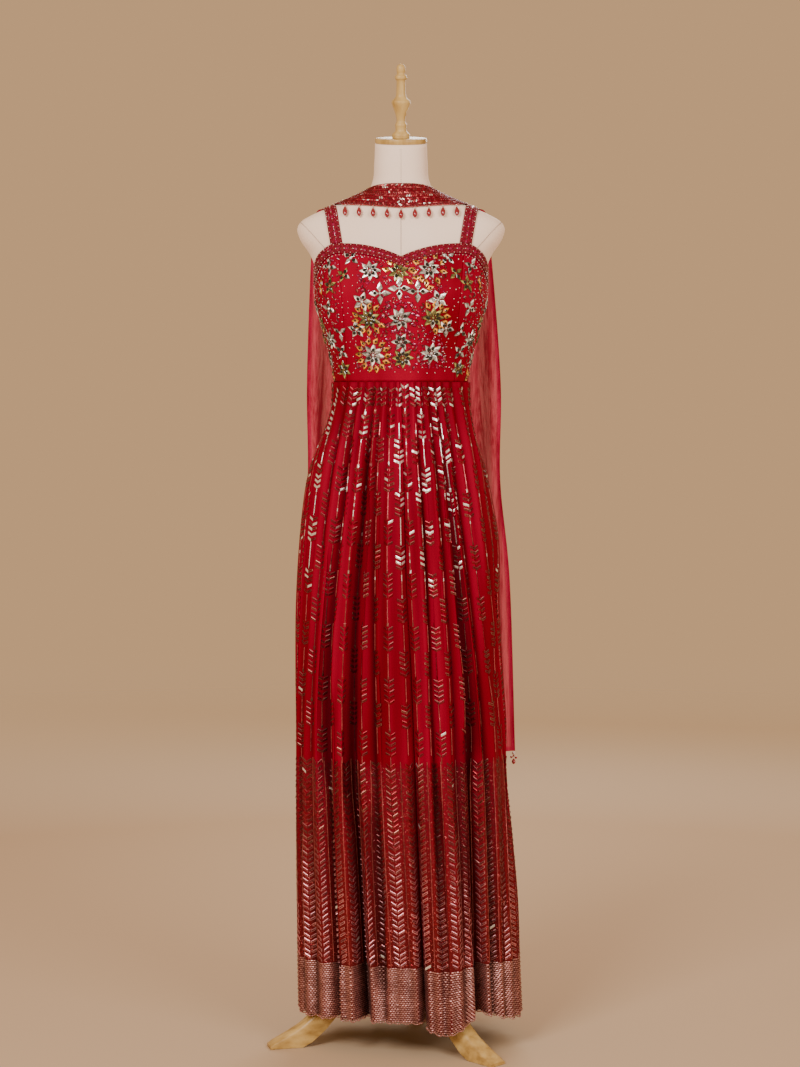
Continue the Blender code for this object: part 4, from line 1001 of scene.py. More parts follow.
def build_stand_leg(side, azimuth):
    """Curved wooden leg, lofted through rounded sections."""
    reach = np.linspace(STAND_LEG[0][0], STAND_LEG[-1][0], 64)
    top, bottom = (np.interp(reach, column(STAND_LEG, 0), column(STAND_LEG, k)) for k in (1, 2))
    soft = np.hanning(9) / np.hanning(9).sum()
    softened = np.convolve(np.pad(top, 4, mode="edge"), soft, mode="valid")
    top = np.where((reach > 0.04) & (reach < 0.22), softened, top)
    half = STAND_LEG_WIDTH / 2
    shoulder, crown = 0.35, 0.45
    made = bmesh.new()
    sections = []
    for far, high, low in zip(reach, top, bottom):
        drop = shoulder * (high - low)
        outline = [(-half, low), (half, low), (half, high - drop)]
        for swing in (math.pi / 8, math.pi / 4, math.pi * 3 / 8):
            x = half * crown + half * (1 - crown) * math.cos(swing)
            outline.append((x, high - drop + drop * math.sin(swing)))
        outline.append((half * crown, high))
        outline += [(-x, z) for x, z in reversed(outline[2:])]
        sections.append([made.verts.new((x, -far, z)) for x, z in outline])
    made.faces.new(sections[0])
    made.faces.new(sections[-1])
    for near, far in zip(sections, sections[1:]):
        for k in range(len(near)):
            after = (k + 1) % len(near)
            made.faces.new((near[k], near[after], far[after], far[k]))
    stretch = (0.15 + 0.85 * abs(math.cos(azimuth)), 0.15 + 0.85 * abs(math.sin(azimuth)), 1.0)
    look = wood_look(f"wood_leg_{side}", stretch)
    place = Matrix.Rotation(azimuth, 4, "Z")
    finish_wood(f"tripod_leg_{side}", made, place, STAND_LEG_SHARP, look, f"stand_leg_{side}")


# Bodice

# Thickness that each kind of cloth is drawn with
BODICE_SHELL = 0.001
BAND_SHELL = 0.0012
LEG_SHELL = 0.0008
BODICE_TINT = 1.16
BODICE_SINK = 0.0002
BODICE_ROWS = 54
BORDER_ROWS = 7
BODICE_PANELS = {
    "front_centre": (-1, 1, 73),
    "front_side_left": (-2, -1, 37),
    "front_side_right": (1, 2, 37),
    "back_left": (-2, 0, 61),
    "back_right": (0, 2, 61),
}


def bodice_shell(places, back, offset, rows, border=False):
    """Grid over the given panel places, from the top edge down to the waist or the border's foot."""
    columns = []
    for place in places:
        top = top_edge(place, back)
        heights = np.linspace(top, top - BORDER_WIDTH if border else WAIST_Z, rows)
        angles = np.array([panel_angle(place, z, back) for z in heights])
        columns.append(torso_surface(angles, heights, offset))
    grid = np.stack(columns, axis=1)
    for end, beside in ((0, 1), (-1, -2)):
        grid[:, end] += unit(grid[:, beside] - grid[:, end]) * HALF_GAP
    return grid


def build_bodice():
    work = embroider_bodice()
    beads = bead_borders()
    for name, places in BODICE_PANELS.items():
        node, back = f"bodice_{name}", "back" in name
        grid = bodice_shell(np.linspace(*places), back, BODICE_OUTSIDE - BODICE_SINK, BODICE_ROWS)
        tint = np.full_like(grid, BODICE_TINT)
        piece = add_cloth(node, grid, RED_CLOTH, "red_cloth", BODICE_SHELL, tint, flip=not back)
        declare_cloth(grid, work.get(node, ()))
    for name, count, under in (("front", 145, "front_centre"), ("back", 121, "back_left")):
        back = name == "back"
        grid = bodice_shell(np.linspace(-2, 2, count), back, BORDER_OUTSIDE, BORDER_ROWS, border=True)
        node = f"neckline_border_{name}"
        piece = add_cloth(node, grid, BORDER, "beaded_border", BODICE_SHELL, flip=not back)
        declare_cloth(grid, [beads[back]])


# Straps and neck band


def strap_seat(x, back):
    """Height just above the bodice's top edge where a strap's column at x ends."""
    z = BACK_EDGE[0][1] if back else STRAP_CENTRE_Z
    return edge_above(torso_angle(x, z), z, back) + STRAP_END_GAP


def strap_grid(tree, side, rows=90, columns=9):
    """A strap's middle surface on the form, from its front end over the shoulder to its back end."""
    lines = []
    for across in np.linspace(-0.5, 0.5, columns):
        line = []
        for turn in np.linspace(0, STRAP_ROUTE[-1][0], 160):
            bearing = math.radians(turn)
            start = (side * read(STRAP_ROUTE, turn) + across * STRAP_WIDTH, 0.0, STRAP_CENTRE_Z)
            line.append(tree.ray_cast(start, (0.0, -math.cos(bearing), math.sin(bearing)))[0])
        line = np.array(line)
        front, back = strap_seat(line[0, 0], False), strap_seat(line[-1, 0], True)
        keep = line[:, 2] > np.where(line[:, 1] < 0, front, back) + 0.001
        first = torso_surface(torso_angle(line[0, 0], front), front, -FORM_INSET)
        last = torso_surface(math.pi - torso_angle(line[-1, 0], back), back, -FORM_INSET)
        line = np.concatenate([[first], line[keep], [last]])
        way = way_along(line)
        at = np.linspace(0, way[-1], rows)
        lines.append(np.stack([np.interp(at, way, line[:, k]) for k in range(3)], axis=-1))
    return np.stack(lines, axis=1)


def build_straps():
    form = bpy.data.objects["dress_form"].data
    points = [v.co - Vector(POLE) for v in form.vertices]
    tree = BVHTree.FromPolygons(points, [list(p.vertices) for p in form.polygons])
    for name, side in SIDES.items():
        base = strap_grid(tree, side)
        normals = grid_normals(base)
        grid = base + normals * STRAP_OUTSIDE
        piece = add_cloth(f"strap_{name}", grid, BORDER, "beaded_border", BAND_SHELL)
        declare_cloth(grid, [bead_strap(name, grid, normals)])


BAND_SWELL = 0.0004
BAND_COLUMNS = 180


def build_neck_band():
    angles = np.linspace(0, 2 * math.pi, BAND_COLUMNS, endpoint=False)
    rows = []
    for share in np.linspace(1, 0, 9):
        swell = BAND_SWELL * (1 - (2 * share - 1) ** 2)
        rows.append(torso_surface(angles, band_heights(angles, share), BAND_OUTSIDE + swell))
    grid = np.array(rows)
    piece = add_cloth("neck_band", grid, BAND, "beaded_border", BAND_SHELL, closed=True, flip=True)
    whole = np.concatenate([grid, grid[:, :1]], axis=1)
    declare_cloth(whole, [*cover_band(), hang_neck_drops()])


# Legs

SUB_COLUMNS = 4
ROWS_ABOVE_CROTCH = 42
ROWS_BELOW_CROTCH = 66
HEM_ROWS = 18
SHADE_REACH = 12
SHADE_DEPTH = 0.0085
SHADE_DARKEST = 0.32
GATHERS_A_COLUMN = 1.6
GATHER_WIDTH = 0.20
CREASE_MARGIN = 1.2
DRAPE_COLUMNS_A_FOLD = 16
DRAPE_SUB_ROWS = 12
# Seeds of each panel's gathers and of its embroidery
PANEL_SEEDS = {
    ("left", "front"): (11, 21),
    ("left", "back"): (21, 22),
    ("right", "front"): (12, 23),
    ("right", "back"): (22, 24),
}


def crease_heights(side, face, heights, count):
    """How far the creases and the waist's gathers move each point of a panel outwards."""
    at = np.arange(count) / SUB_COLUMNS
    moved = np.zeros((len(heights), count))
    for place, top, bottom, width, height, drift in CREASES[side, face]:
        fade = min(CREASE_FADE, (top - bottom) / 2)
        along = ease((top - heights) / fade) * ease((heights - bottom) / fade)
        middle = place + drift * ease((top - heights) / (top - bottom))
        moved += height * along[:, None] * bell(at[None] - middle[:, None], width)
    random = np.random.default_rng(PANEL_SEEDS[side, face][0])
    number = int(at[-1] * GATHERS_A_COLUMN)
    for place in np.linspace(0.6, at[-1] - 0.6, number) + random.normal(0, 0.14, number):
        ends = GATHER_ENDS_Z + random.uniform(-0.035, 0.030)
        along = ease((heights - ends) / (WAIST_Z - ends))
        high = GATHER_HEIGHT * random.uniform(0.4, 1.3)
        moved += high * along[:, None] * bell(at - place, GATHER_WIDTH)
    return moved * (ease(at / CREASE_MARGIN) * ease((at[-1] - at) / CREASE_MARGIN))


def fold_shade(grid, normals):
    """Share of light that reaches each point: 1 on the ridges, less down in the folds."""
    padded = np.pad(grid, ((0, 0), (SHADE_REACH, SHADE_REACH), (0, 0)), mode="edge")
    weights = np.hanning(2 * SHADE_REACH + 3)[1:-1]
    columns = grid.shape[1]
    mean = sum(w * padded[:, k : k + columns] for k, w in enumerate(weights / weights.sum()))
    sunk = np.sum((mean - grid) * normals, axis=-1)
    return 1 - (1 - SHADE_DARKEST) * ease((sunk + SHADE_DEPTH * 0.25) / SHADE_DEPTH)


def leg_grid(side, face, turn):
    """Fine grid of a leg panel, which cells exist, where its inner face starts, and its heights."""
    heights = np.concatenate([
        np.linspace(LEG_TOP_Z, CROTCH_Z, ROWS_ABOVE_CROTCH, endpoint=False),
        np.linspace(CROTCH_Z, HEM_STARTS_Z, ROWS_BELOW_CROTCH, endpoint=False),
        np.linspace(HEM_STARTS_Z, LEG_BOTTOM_Z, HEM_ROWS),
    ])
    net = []
    for z in heights:
        row = leg_row(z, side, face)
        net.append(np.column_stack([row, np.full(len(row), z)]))
    net = np.array(net)
    corner = net.shape[1] - 2 - len(INNER_FACE_STEPS)
    hem = read(HEM[side, face], net[-1, :, 0])
    for step, height in enumerate(INNER_HEM[face]):
        hem[corner + step] = height or hem[corner + step]
    outer = catmull_rom(net[:, : corner + 1], SUB_COLUMNS)
    moved = crease_heights(side, face, heights, outer.shape[1])
    outer = outer + turn * grid_normals(outer) * moved[..., None] * np.array([1.0, 1.0, 0.0])
    grid = np.concatenate([outer, catmull_rom(net[:, corner:], SUB_COLUMNS)[:, 1:]], axis=1)
    hem = np.interp(np.arange(grid.shape[1]) / SUB_COLUMNS, np.arange(len(hem)), hem)
    fall = np.clip((HEM_STARTS_Z - heights) / (HEM_STARTS_Z - LEG_BOTTOM_Z), 0, 1)
    grid[..., 2] += fall[:, None] * (hem - LEG_BOTTOM_Z)
    kept = np.ones((grid.shape[0] - 1, grid.shape[1] - 1), dtype=bool)
    kept[:ROWS_ABOVE_CROTCH, corner * SUB_COLUMNS :] = False
    return grid, kept, corner * SUB_COLUMNS, heights


def build_leg(side, face):
    """A leg panel with its embroidery."""
    turn = -1.0 if (side == "left") == (face == "front") else 1.0
    grid, kept, corner, heights = leg_grid(side, face, turn)
    normals = turn * grid_normals(grid)
    # Painted shade: the leg's points are painted darker down in its folds, and the sequins take it too
    shade = fold_shade(grid, normals)
    tint = np.repeat(shade[..., None], 3, axis=-1)
    name = f"leg_{side}_{face}"
    piece = add_cloth(name, grid, RED_CLOTH, "red_cloth", LEG_SHELL, tint, kept=kept, flip=turn < 0)
    panel = {"grid": grid, "normals": normals, "corner": corner, "heights": heights, "shade": shade}
    panel["arc"] = np.array([way_along(row) for row in grid[:, : corner + 1]])
    panel["direction"] = -turn
    trims = embroider_leg(f"{side}_{face}", panel, PANEL_SEEDS[side, face][1])
    declare_cloth(grid, trims, kept)


def build_drape():
    share = np.linspace(-1, 1, DRAPE_FOLDS * DRAPE_COLUMNS_A_FOLD + 1)
    rows = [drape_top(share, *row) for row in DRAPE_TOP]
    rows += [drape_point(share, z) for z in column(DRAPE, 0)]
    grid = catmull_rom(np.array(rows).transpose(1, 0, 2), DRAPE_SUB_ROWS).transpose(1, 0, 2)
    piece = add_cloth("drape", grid, NET, "red_net", None)
    declare_cloth(grid, trim_drape(grid))


# Embroidery on the legs

FOIL_BRONZE = (0.21, 0.046, 0.044)
FOIL_OLIVE = (0.24, 0.085, 0.062)
FOIL_WINE = (0.26, 0.018, 0.024)
FOIL_ROSE = (0.82, 0.33, 0.37)
FOIL_COPPER = (0.55, 0.265, 0.245)
# White of the painted glints: sequins shown as if catching the light
PAINTED_GLINT = (1.0, 0.96, 0.92)
THREAD_ROSE = (0.58, 0.13, 0.13)
HEM_BEAD = (0.50, 0.19, 0.17)

# Length, rise and breadth of a sprig's leaf and of a chevron's arm
LEAF = (0.0088, 0.0040, 0.0043)
CHEVRON_ARM = (0.0100, 0.0056, 0.0044)
BUD = (0.0036, 0.0, 0.0060)
BRICK = (0.0043, 0.0, 0.0023, 0.0004)
LEAF_GAP = 0.0006
CHEVRON_GAP = 0.0007
HEM_BEAD_PITCH = 0.0027
HEM_BEAD_RADIUS = 0.00135
HEM_SCALLOP = (0.0004, 0.0014, 0.0022, 0.0026, 0.0022, 0.0014)
SEQUIN_LIFT = 0.0006
SPRIG_PITCH = 0.0885
SPRIG_FIRST_Z = (1.0600, 1.0157)
SPRIG_PAIRS = 5
PAIR_PITCH = 0.0086
SPRIG_SPACING = 0.0265
SPRIG_SPACING_Z = 0.750
TOP_ROW_Z = 1.1120
CHEVRON_TOP_Z = 0.492
CHEVRON_BOTTOM_Z = 0.150
CHEVRON_PITCH = 0.0093
CHEVRON_SPACING = 0.0325
CHEVRON_SPACING_Z = 0.300
LINE_BEAD_PITCH = 0.0056
SPECK_PITCH = 0.0046
BAND_ROW_PITCH = 0.0037
BAND_SEQUIN_PITCH = 0.0048


def row_of(panel, z):
    """Fractional row of a height measured before the hem's unevenness."""
    return np.interp(-np.asarray(z), -panel["heights"], np.arange(len(panel["heights"])))


def arc_at(panel, z):
    return panel["arc"][int(row_of(panel, z))]


def even_columns(panel, z, spacing, start=0.5):
    """Fractional columns that are evenly spaced along the cloth at a height."""
    arc = arc_at(panel, z)
    number = int(arc[-1] / spacing)
    return np.interp((np.arange(number) + start) * arc[-1] / number, arc, np.arange(len(arc)))


def moved_columns(panel, rows, columns, aside):
    """Columns moved aside along the cloth by a distance; off the panel they are not a number."""
    nearest = np.rint(rows).astype(int)
    moved = np.full(len(rows), np.nan)
    index = np.arange(panel["arc"].shape[1])
    for row in np.unique(nearest):
        here = nearest == row
        arc = panel["arc"][row]
        wanted = np.interp(columns[here], index, arc) + aside[here]
        found = np.interp(wanted, arc, index)
        found[(wanted < 0) | (wanted > arc[-1])] = np.nan
        moved[here] = found
    return moved


def on_panel(panel, rows, columns):
    """Place, outward normal and upward direction at fractional rows and columns."""
    grid, normals = panel["grid"], panel["normals"]
    row = np.clip(rows.astype(int), 0, grid.shape[0] - 2)
    col = np.clip(columns.astype(int), 0, grid.shape[1] - 2)
    down, across = (rows - row)[:, None], (columns - col)[:, None]

    def blend(values):
        top = values[row, col] * (1 - across) + values[row, col + 1] * across
        foot = values[row + 1, col] * (1 - across) + values[row + 1, col + 1] * across
        return top * (1 - down) + foot * down

    return blend(grid), unit(blend(normals)), unit(grid[row, col] - grid[row + 1, col])


def leg_plates(heap, shapes, panel, z, columns, colours, random, aside=0.0, scale=1.0, lean=0.09):
    """Copies at heights and columns, moved aside; of the two shapes the second is for the painted glints.
    """
    rows = row_of(panel, z)
    columns, aside = np.broadcast_to(columns, len(z)), np.broadcast_to(aside, len(z))
    moved = moved_columns(panel, rows, columns, aside * panel["direction"])
    good = ~np.isnan(moved) & (rows < len(panel["heights"]) - 1.2)
    rows, moved = rows[good], moved[good]
    place, normal, up = on_panel(panel, rows, moved)
    normal = tilted(normal, up, lean, random)
    # Painted shade: each copy takes the fold shade painted on the cloth under it, glints less strongly
    shade = panel["shade"][np.rint(rows).astype(int), np.rint(moved).astype(int)]
    scale, colours = np.broadcast_to(scale, (len(z), 3))[good], colours[good]
    # The silver mask picks out the white painted glints
    silver = (colours == np.array(PAINTED_GLINT)).all(axis=1)
    colours = colours * np.where(silver, np.sqrt(shade), shade)[:, None]
    place = place + normal * SEQUIN_LIFT
    for chosen, shape in zip((~silver, silver), shapes):
        heap.add(shape, place[chosen], normal[chosen], up[chosen], scale[chosen], colours[chosen])


def foil_colours(random, z, lit):
    """Colours of sequins: bronze and wine above, rose lower down, painted white glints where they catch
    light.
    """
    number = len(z)
    base = picked_tones(random, [FOIL_BRONZE, FOIL_OLIVE, FOIL_WINE, FOIL_BRONZE], number)
    low = ease((0.40 - z) / 0.20)[:, None]
    rose = np.array(FOIL_ROSE) * random.uniform(0.60, 1.1, number)[:, None]
    base = (base * (1 - low) + rose * low) * random.uniform(0.75, 1.35, number)[:, None]
    # Chance of a painted glint: most above 0.93 m, rare below 0.78 m, times the column's share
    chance = np.where(z > 0.93, 0.24, np.where(z > 0.78, 0.12, 0.005)) * lit
    return np.where((random.random(number) < chance)[:, None], np.array(PAINTED_GLINT), base)


def leg_pairs(heap, panel, z, stem, size, gap, narrow, lit, random):
    """Slanted sequins on both hands of a stem, holed except the painted white glints."""
    pair = (holed_plate(*size), slanted_plate(*size))
    scale = np.stack([narrow, np.ones_like(narrow), np.ones_like(narrow)], axis=-1)
    for hand, shapes in ((1, pair), (-1, [mirrored(shape) for shape in pair])):
        aside = hand * (size[0] / 2 * narrow + gap)
        leg_plates(heap, shapes, panel, z, stem, foil_colours(random, z, lit), random, aside, scale)


def sprig_work(heap, threads, panel, random):
    """Leafy sprigs on long stems, in half-drop columns, with a close row below the waist."""
    bud = slanted_plate(*BUD)
    reach = SPRIG_PAIRS * PAIR_PITCH / 2
    steps = (np.arange(SPRIG_PAIRS) - (SPRIG_PAIRS - 1) / 2) * PAIR_PITCH
    for number, stem in enumerate(even_columns(panel, SPRIG_SPACING_Z, SPRIG_SPACING)):
        # How many of this column's sequins and stem beads are painted white as glints
        lit = random.choice((0.10, 0.25, 0.6, 1.2, 3.0))
        first = SPRIG_FIRST_Z[number % 2] + random.normal(0, 0.0015)
        middles = np.arange(first, CHEVRON_TOP_Z + reach * 0.7, -SPRIG_PITCH)
        middles = np.append(middles, TOP_ROW_Z + random.normal(0, 0.001))
        heights = (middles[:, None] + steps[None]).ravel()
        heights = heights[(heights > CHEVRON_TOP_Z) & (heights < WAIST_Z - 0.005)]
        heights = heights + random.normal(0, 0.0004, len(heights))
        narrow = np.interp(heights, (1.0, 1.10), (1.0, 0.80))
        leg_pairs(heap, panel, heights, stem, LEAF, LEAF_GAP, narrow, lit, random)
        buds = middles + reach + 0.002
        buds = buds[(buds < WAIST_Z - 0.006) & (buds > CHEVRON_TOP_Z)]
        leg_plates(heap, (bud, bud), panel, buds, stem, foil_colours(random, buds, lit), random)
        line = np.arange(middles[0] + SPRIG_PITCH / 2, CHEVRON_TOP_Z, -LINE_BEAD_PITCH)
        line = line[line < TOP_ROW_Z - reach]
        gap = np.abs((first - line + SPRIG_PITCH / 2) % SPRIG_PITCH - SPRIG_PITCH / 2)
        thread_line(threads, panel, line[gap > reach + 0.001], stem, lit, random)


def thread_line(threads, panel, z, stem, lit, random):
    """Long beads end to end down a stem."""
    bead = bugle(0.0017, LINE_BEAD_PITCH * 0.94, 0.0008)
    colours = np.array(THREAD_ROSE) * random.uniform(0.6, 1.15, len(z))[:, None]
    # Painted glints: some beads above 0.8 m are painted white as if catching the light
    bright = (random.random(len(z)) < 0.30 * lit) & (z > 0.80)
    colours = np.where(bright[:, None], np.array(PAINTED_GLINT), colours)
    leg_plates(threads, (bead, bead), panel, z, stem, colours, random, lean=0.03)


def chevron_work(heap, threads, panel, random):
    """Close columns of V-shaped pairs with straight lines between them."""
    heights = np.arange(CHEVRON_TOP_Z, CHEVRON_BOTTOM_Z, -CHEVRON_PITCH)
    for stem in even_columns(panel, CHEVRON_SPACING_Z, CHEVRON_SPACING):
        z = heights + random.normal(0, 0.0004, len(heights))
        room = np.interp(z, (0.15, 0.50), (1.06, 0.84))
        leg_pairs(heap, panel, z, stem, CHEVRON_ARM, CHEVRON_GAP, room, 1.0, random)
    line = np.arange(CHEVRON_TOP_Z + 0.004, CHEVRON_BOTTOM_Z, -LINE_BEAD_PITCH)
    for stem in even_columns(panel, CHEVRON_SPACING_Z, CHEVRON_SPACING, 0.0)[1:]:
        thread_line(threads, panel, line, stem, 1.0, random)


def speck_work(heap, panel, random):
    """Tiny sequins scattered over the close-worked part, brighter lower down."""
    half = 0.0012
    corners = [(-half, -half, 0), (half, 0.0003, 0), (half, half, 0), (-half, -0.0003, 0)]
    right = new_shape(corners, [(0, 1, 2), (0, 2, 3)])
    for number, z in enumerate(np.arange(CHEVRON_BOTTOM_Z + 0.005, CHEVRON_TOP_Z - 0.003, SPECK_PITCH)):
        arc = arc_at(panel, z)
        at = np.arange(SPECK_PITCH * 0.5, arc[-1], SPECK_PITCH)
        at = at + random.normal(0, 0.0012, len(at))
        columns = np.interp(at, arc, np.arange(len(arc)))
        z = z + random.normal(0, 0.0012, len(at))
        base = picked_tones(random, [FOIL_BRONZE, FOIL_WINE, THREAD_ROSE], len(at))
        colours = base * (random.uniform(0.5, 1.3, len(at)) * (1 + ease((0.36 - z) / 0.2)))[:, None]
        shape = right if number % 2 else mirrored(right)
        leg_plates(heap, (shape, shape), panel, z, columns, colours, random, lean=0.15)


def hem_band_work(heap, panel, random):
    """Rows of small overlapping sequins like bricks down to the hem."""
    plate = slanted_plate(*BRICK)
    heights = np.arange(CHEVRON_BOTTOM_Z - 0.002, LEG_BOTTOM_Z + 0.001, -BAND_ROW_PITCH)
    arc = arc_at(panel, heights.mean())
    for number, z in enumerate(heights):
        at = np.arange(BAND_SEQUIN_PITCH * (0.25 + 0.5 * (number % 2)), arc[-1], BAND_SEQUIN_PITCH)
        columns = np.interp(at, arc, np.arange(len(arc)))
        z = z + random.normal(0, 0.0001, len(at))
        # Painted sheen and shade: broad bright and dark patches running across the band
        painted_sheen = 1 + 0.22 * np.sin(at * 41 + z * 70) * np.sin(at * 17 - z * 55 + 1.0)
        colours = np.array(FOIL_COPPER) * (random.uniform(0.72, 1.18, len(at)) * painted_sheen)[:, None]
        leg_plates(heap, (plate, plate), panel, z, columns, colours, random, lean=0.035)


def hem_beads(heap, panel, random):
    """Tiny beads hanging from the hem in small scallops."""
    line, normals = (panel[key][-1, : panel["corner"] + 1] for key in ("grid", "normals"))
    index = along_line(line, HEM_BEAD_PITCH)
    places = taken(line, index)
    places[:, 2] -= np.array(HEM_SCALLOP)[np.arange(len(index)) % len(HEM_SCALLOP)]
    colours = np.array(HEM_BEAD) * random.uniform(0.6, 1.2, len(index))[:, None]
    outward = unit(taken(normals, index))
    heap.add(ball_shape(6, 4), places, outward, (0, 0, 1), HEM_BEAD_RADIUS, colours)


def embroider_leg(name, panel, seed):
    random = np.random.default_rng(seed)
    upper, lower, threads, beads = Heap(), Heap(), Heap(), Heap()
    sprig_work(upper, threads, panel, random)
    chevron_work(lower, threads, panel, random)
    speck_work(lower, panel, random)
    hem_band_work(lower, panel, random)
    hem_beads(beads, panel, random)
    heaps = {"sprig_sequins": upper, "hem_sequins": lower, "line_beads": threads}
    trims = [heap.build(f"{kind}_{name}", SEQUIN) for kind, heap in heaps.items()]
    return [*trims, beads.build(f"hem_beads_{name}", BEAD, flat=False)]


# Mirror work on the bodice

SILVER = (0.97, 0.96, 0.90)
OLIVE = (0.36, 0.33, 0.10)
ORANGE = (0.98, 0.40, 0.055)
PINK = (0.38, 0.006, 0.09)
DARK = (0.005, 0.005, 0.007)
PEARL = (0.90, 0.78, 0.72)
DEEP_PINK = (0.24, 0.003, 0.05)
BEAD_SILVER = (0.86, 0.76, 0.68)
BEAD_WINE = (0.16, 0.004, 0.012)
BEAD_ROSE = (0.36, 0.05, 0.06)
BEAD_RED = (0.42, 0.01, 0.03)
DROP_RED = (0.30, 0.006, 0.022)

# Flowers and stars, lengths in millimetres: across, height, petals, first petal's turn, petal
# length, petal width, distance of a petal's middle from the flower's middle, colour
FLOWERS = (
    (-51, 1316, 8, 0, 12.5, 6.6, 9.8, SILVER), (46, 1318, 8, 20, 12.5, 6.6, 9.8, SILVER),
    (-4, 1314, 8, 22, 12.5, 6.6, 9.8, OLIVE), (-1, 1238, 8, 12, 14, 7.2, 10.8, SILVER),
    (-53, 1238, 8, 22, 13, 6.8, 10.2, OLIVE), (53, 1240, 8, 0, 13, 6.8, 10.2, OLIVE),
    (-46, 1178, 8, 10, 13.5, 7, 10.5, SILVER), (50, 1181, 8, 5, 12.5, 6.6, 9.8, SILVER),
    (3, 1173, 8, 0, 12.5, 6.6, 9.8, OLIVE), (-116, 1205, 8, 15, 11.5, 6, 9, SILVER),
    (115, 1205, 8, 0, 11.5, 6, 9, SILVER), (-35, 1279, 4, 0, 13.5, 7.4, 9.2, SILVER),
    (-3, 1287, 4, 0, 13.5, 7.4, 9.2, SILVER), (28, 1282, 4, 0, 13.5, 7.4, 9.2, SILVER),
    (-64, 1266, 5, 20, 12, 7, 8.6, SILVER), (61, 1269, 5, 50, 12, 7, 8.6, SILVER),
    (-73, 1221, 5, 0, 11.5, 6.6, 8.4, SILVER), (74, 1223, 5, 30, 11.5, 6.6, 8.4, SILVER),
    (-119, 1256, 4, 20, 12, 6.4, 8.5, SILVER), (113, 1258, 4, 25, 12, 6.4, 8.5, SILVER),
    (-83, 1338, 4, 45, 11, 5.8, 8.2, SILVER), (77, 1338, 4, 40, 11, 5.8, 8.2, SILVER),
    (-118, 1325, 4, 10, 11, 5.8, 8, SILVER), (116, 1327, 4, 15, 11, 5.8, 8, SILVER),
    (0, 1200, 6, 30, 11.5, 6.2, 8.4, SILVER), (-94, 1310, 4, 30, 10, 5.6, 7.2, OLIVE),
    (90, 1312, 4, 50, 10, 5.6, 7.2, OLIVE), (-117, 1293, 5, 0, 11, 5.6, 8, OLIVE),
    (109, 1296, 5, 0, 11, 5.6, 8, OLIVE), (-94, 1154, 6, 0, 11, 5.8, 8.4, OLIVE),
    (95, 1156, 6, 10, 11, 5.8, 8.4, OLIVE), (-98, 1184, 4, 40, 10.5, 5.6, 7.8, SILVER),
    (97, 1184, 4, 35, 10.5, 5.6, 7.8, SILVER), (-100, 1216, 3, 60, 11, 5.6, 7.8, SILVER),
    (99, 1218, 3, 0, 11, 5.6, 7.8, SILVER),
)
# Flowers beside the side seams: the same, with the turn from the middle (degrees) first
SIDE_FLOWERS = (
    (80, 1172, 6, 10, 11.5, 6, 8.6, SILVER), (74, 1232, 5, 40, 11, 5.8, 8, OLIVE),
    (84, 1262, 6, 0, 11.5, 6, 8.6, SILVER), (86, 1208, 4, 30, 10, 5.6, 7.4, OLIVE),
)
# Arcs of loose petals, lengths in millimetres: across, height, radius, first and last turn,
# number, colour
PETAL_ARCS = (
    (46, 1318, 25.5, -100, 60, 5, ORANGE), (46, 1318, 25.5, 100, 235, 4, ORANGE),
    (-46, 1178, 24.5, -10, 325, 14, ORANGE), (-53, 1238, 23.5, -175, 35, 9, ORANGE),
    (-53, 1238, 23.5, 120, 150, 2, ORANGE), (53, 1240, 23.5, -25, 165, 8, ORANGE),
    (-4, 1314, 21.5, -80, -40, 2, ORANGE), (-4, 1314, 21.5, 40, 80, 2, ORANGE),
    (50, 1181, 23.5, 120, 250, 5, PINK), (-1, 1238, 22.5, -157, 157, 8, PINK),
    (28, 1282, 21, -40, 75, 3, ORANGE), (-1, 1238, 29, -80, 80, 5, PINK),
    (-1, 1238, 26, 115, 245, 5, PINK), (-132, 1292, 6, 0, 180, 2, ORANGE),
    (130, 1296, 6, 0, 180, 2, ORANGE), (-112, 1143, 8, -60, 120, 3, ORANGE),
    (110, 1143, 8, -120, 60, 3, ORANGE), (-30, 1300, 26, 180, 260, 3, PINK),
)
# Gems: width, length and thickness, and how far each is lifted off the cloth
GEM_LIFT = 0.0002
PETAL_THICKNESS = 0.0016
FOOT_STONE, FOOT_LIFT = (0.0028, 0.0034, 0.0012), 0.0018
MIDDLE_STONE = (0.0026, 0.0026, 0.0018)
ARC_PETAL = (0.0098, 0.0154, 0.0016)
ARC_STONE, ARC_LIFT = (0.0017, 0.0025, 0.0012), 0.0015
SMALL_PETAL_SHARE = 0.52
FILLING_PETAL = (0.0046, 0.0076, 0.0011)
FILLING_BEAD = (0.0011, 0.0011, 0.0009)
PETAL_GROWTH = 1.36
PETAL_WIDENING = 1.45
FLOWER_GROWTH = 1.10
FILLING_PITCH = 0.0066
PEARL_PITCH = 0.0138
PEARL_LOW_Z = 1.150
BACK_HIGHEST_Z = 1.300


def add_gems(heap, shape, angle, z, turn, scale, colours, lift=GEM_LIFT):
    """Copies of a gem on the bodice, each turned clockwise from upright."""
    here, along, up, normal = torso_frame(angle, z)
    turn = np.asarray(turn)[..., None]
    way = unit(along) * np.sin(turn) + unit(up) * np.cos(turn)
    heap.add(shape, here + normal * (BODICE_OUTSIDE + lift), normal, way, scale, colours)


def spots_round(angle, z, radius, turns):
    """Angles and heights at a distance from a point of the bodice, in the directions of the turns."""
    angle, z = np.full(len(turns), angle), np.full(len(turns), z)
    _, along, rise, _ = torso_frame(angle, z)
    right, up = radius * np.sin(turns), radius * np.cos(turns)
    return angle + right / np.linalg.norm(along, axis=-1), z + up / np.linalg.norm(rise, axis=-1)


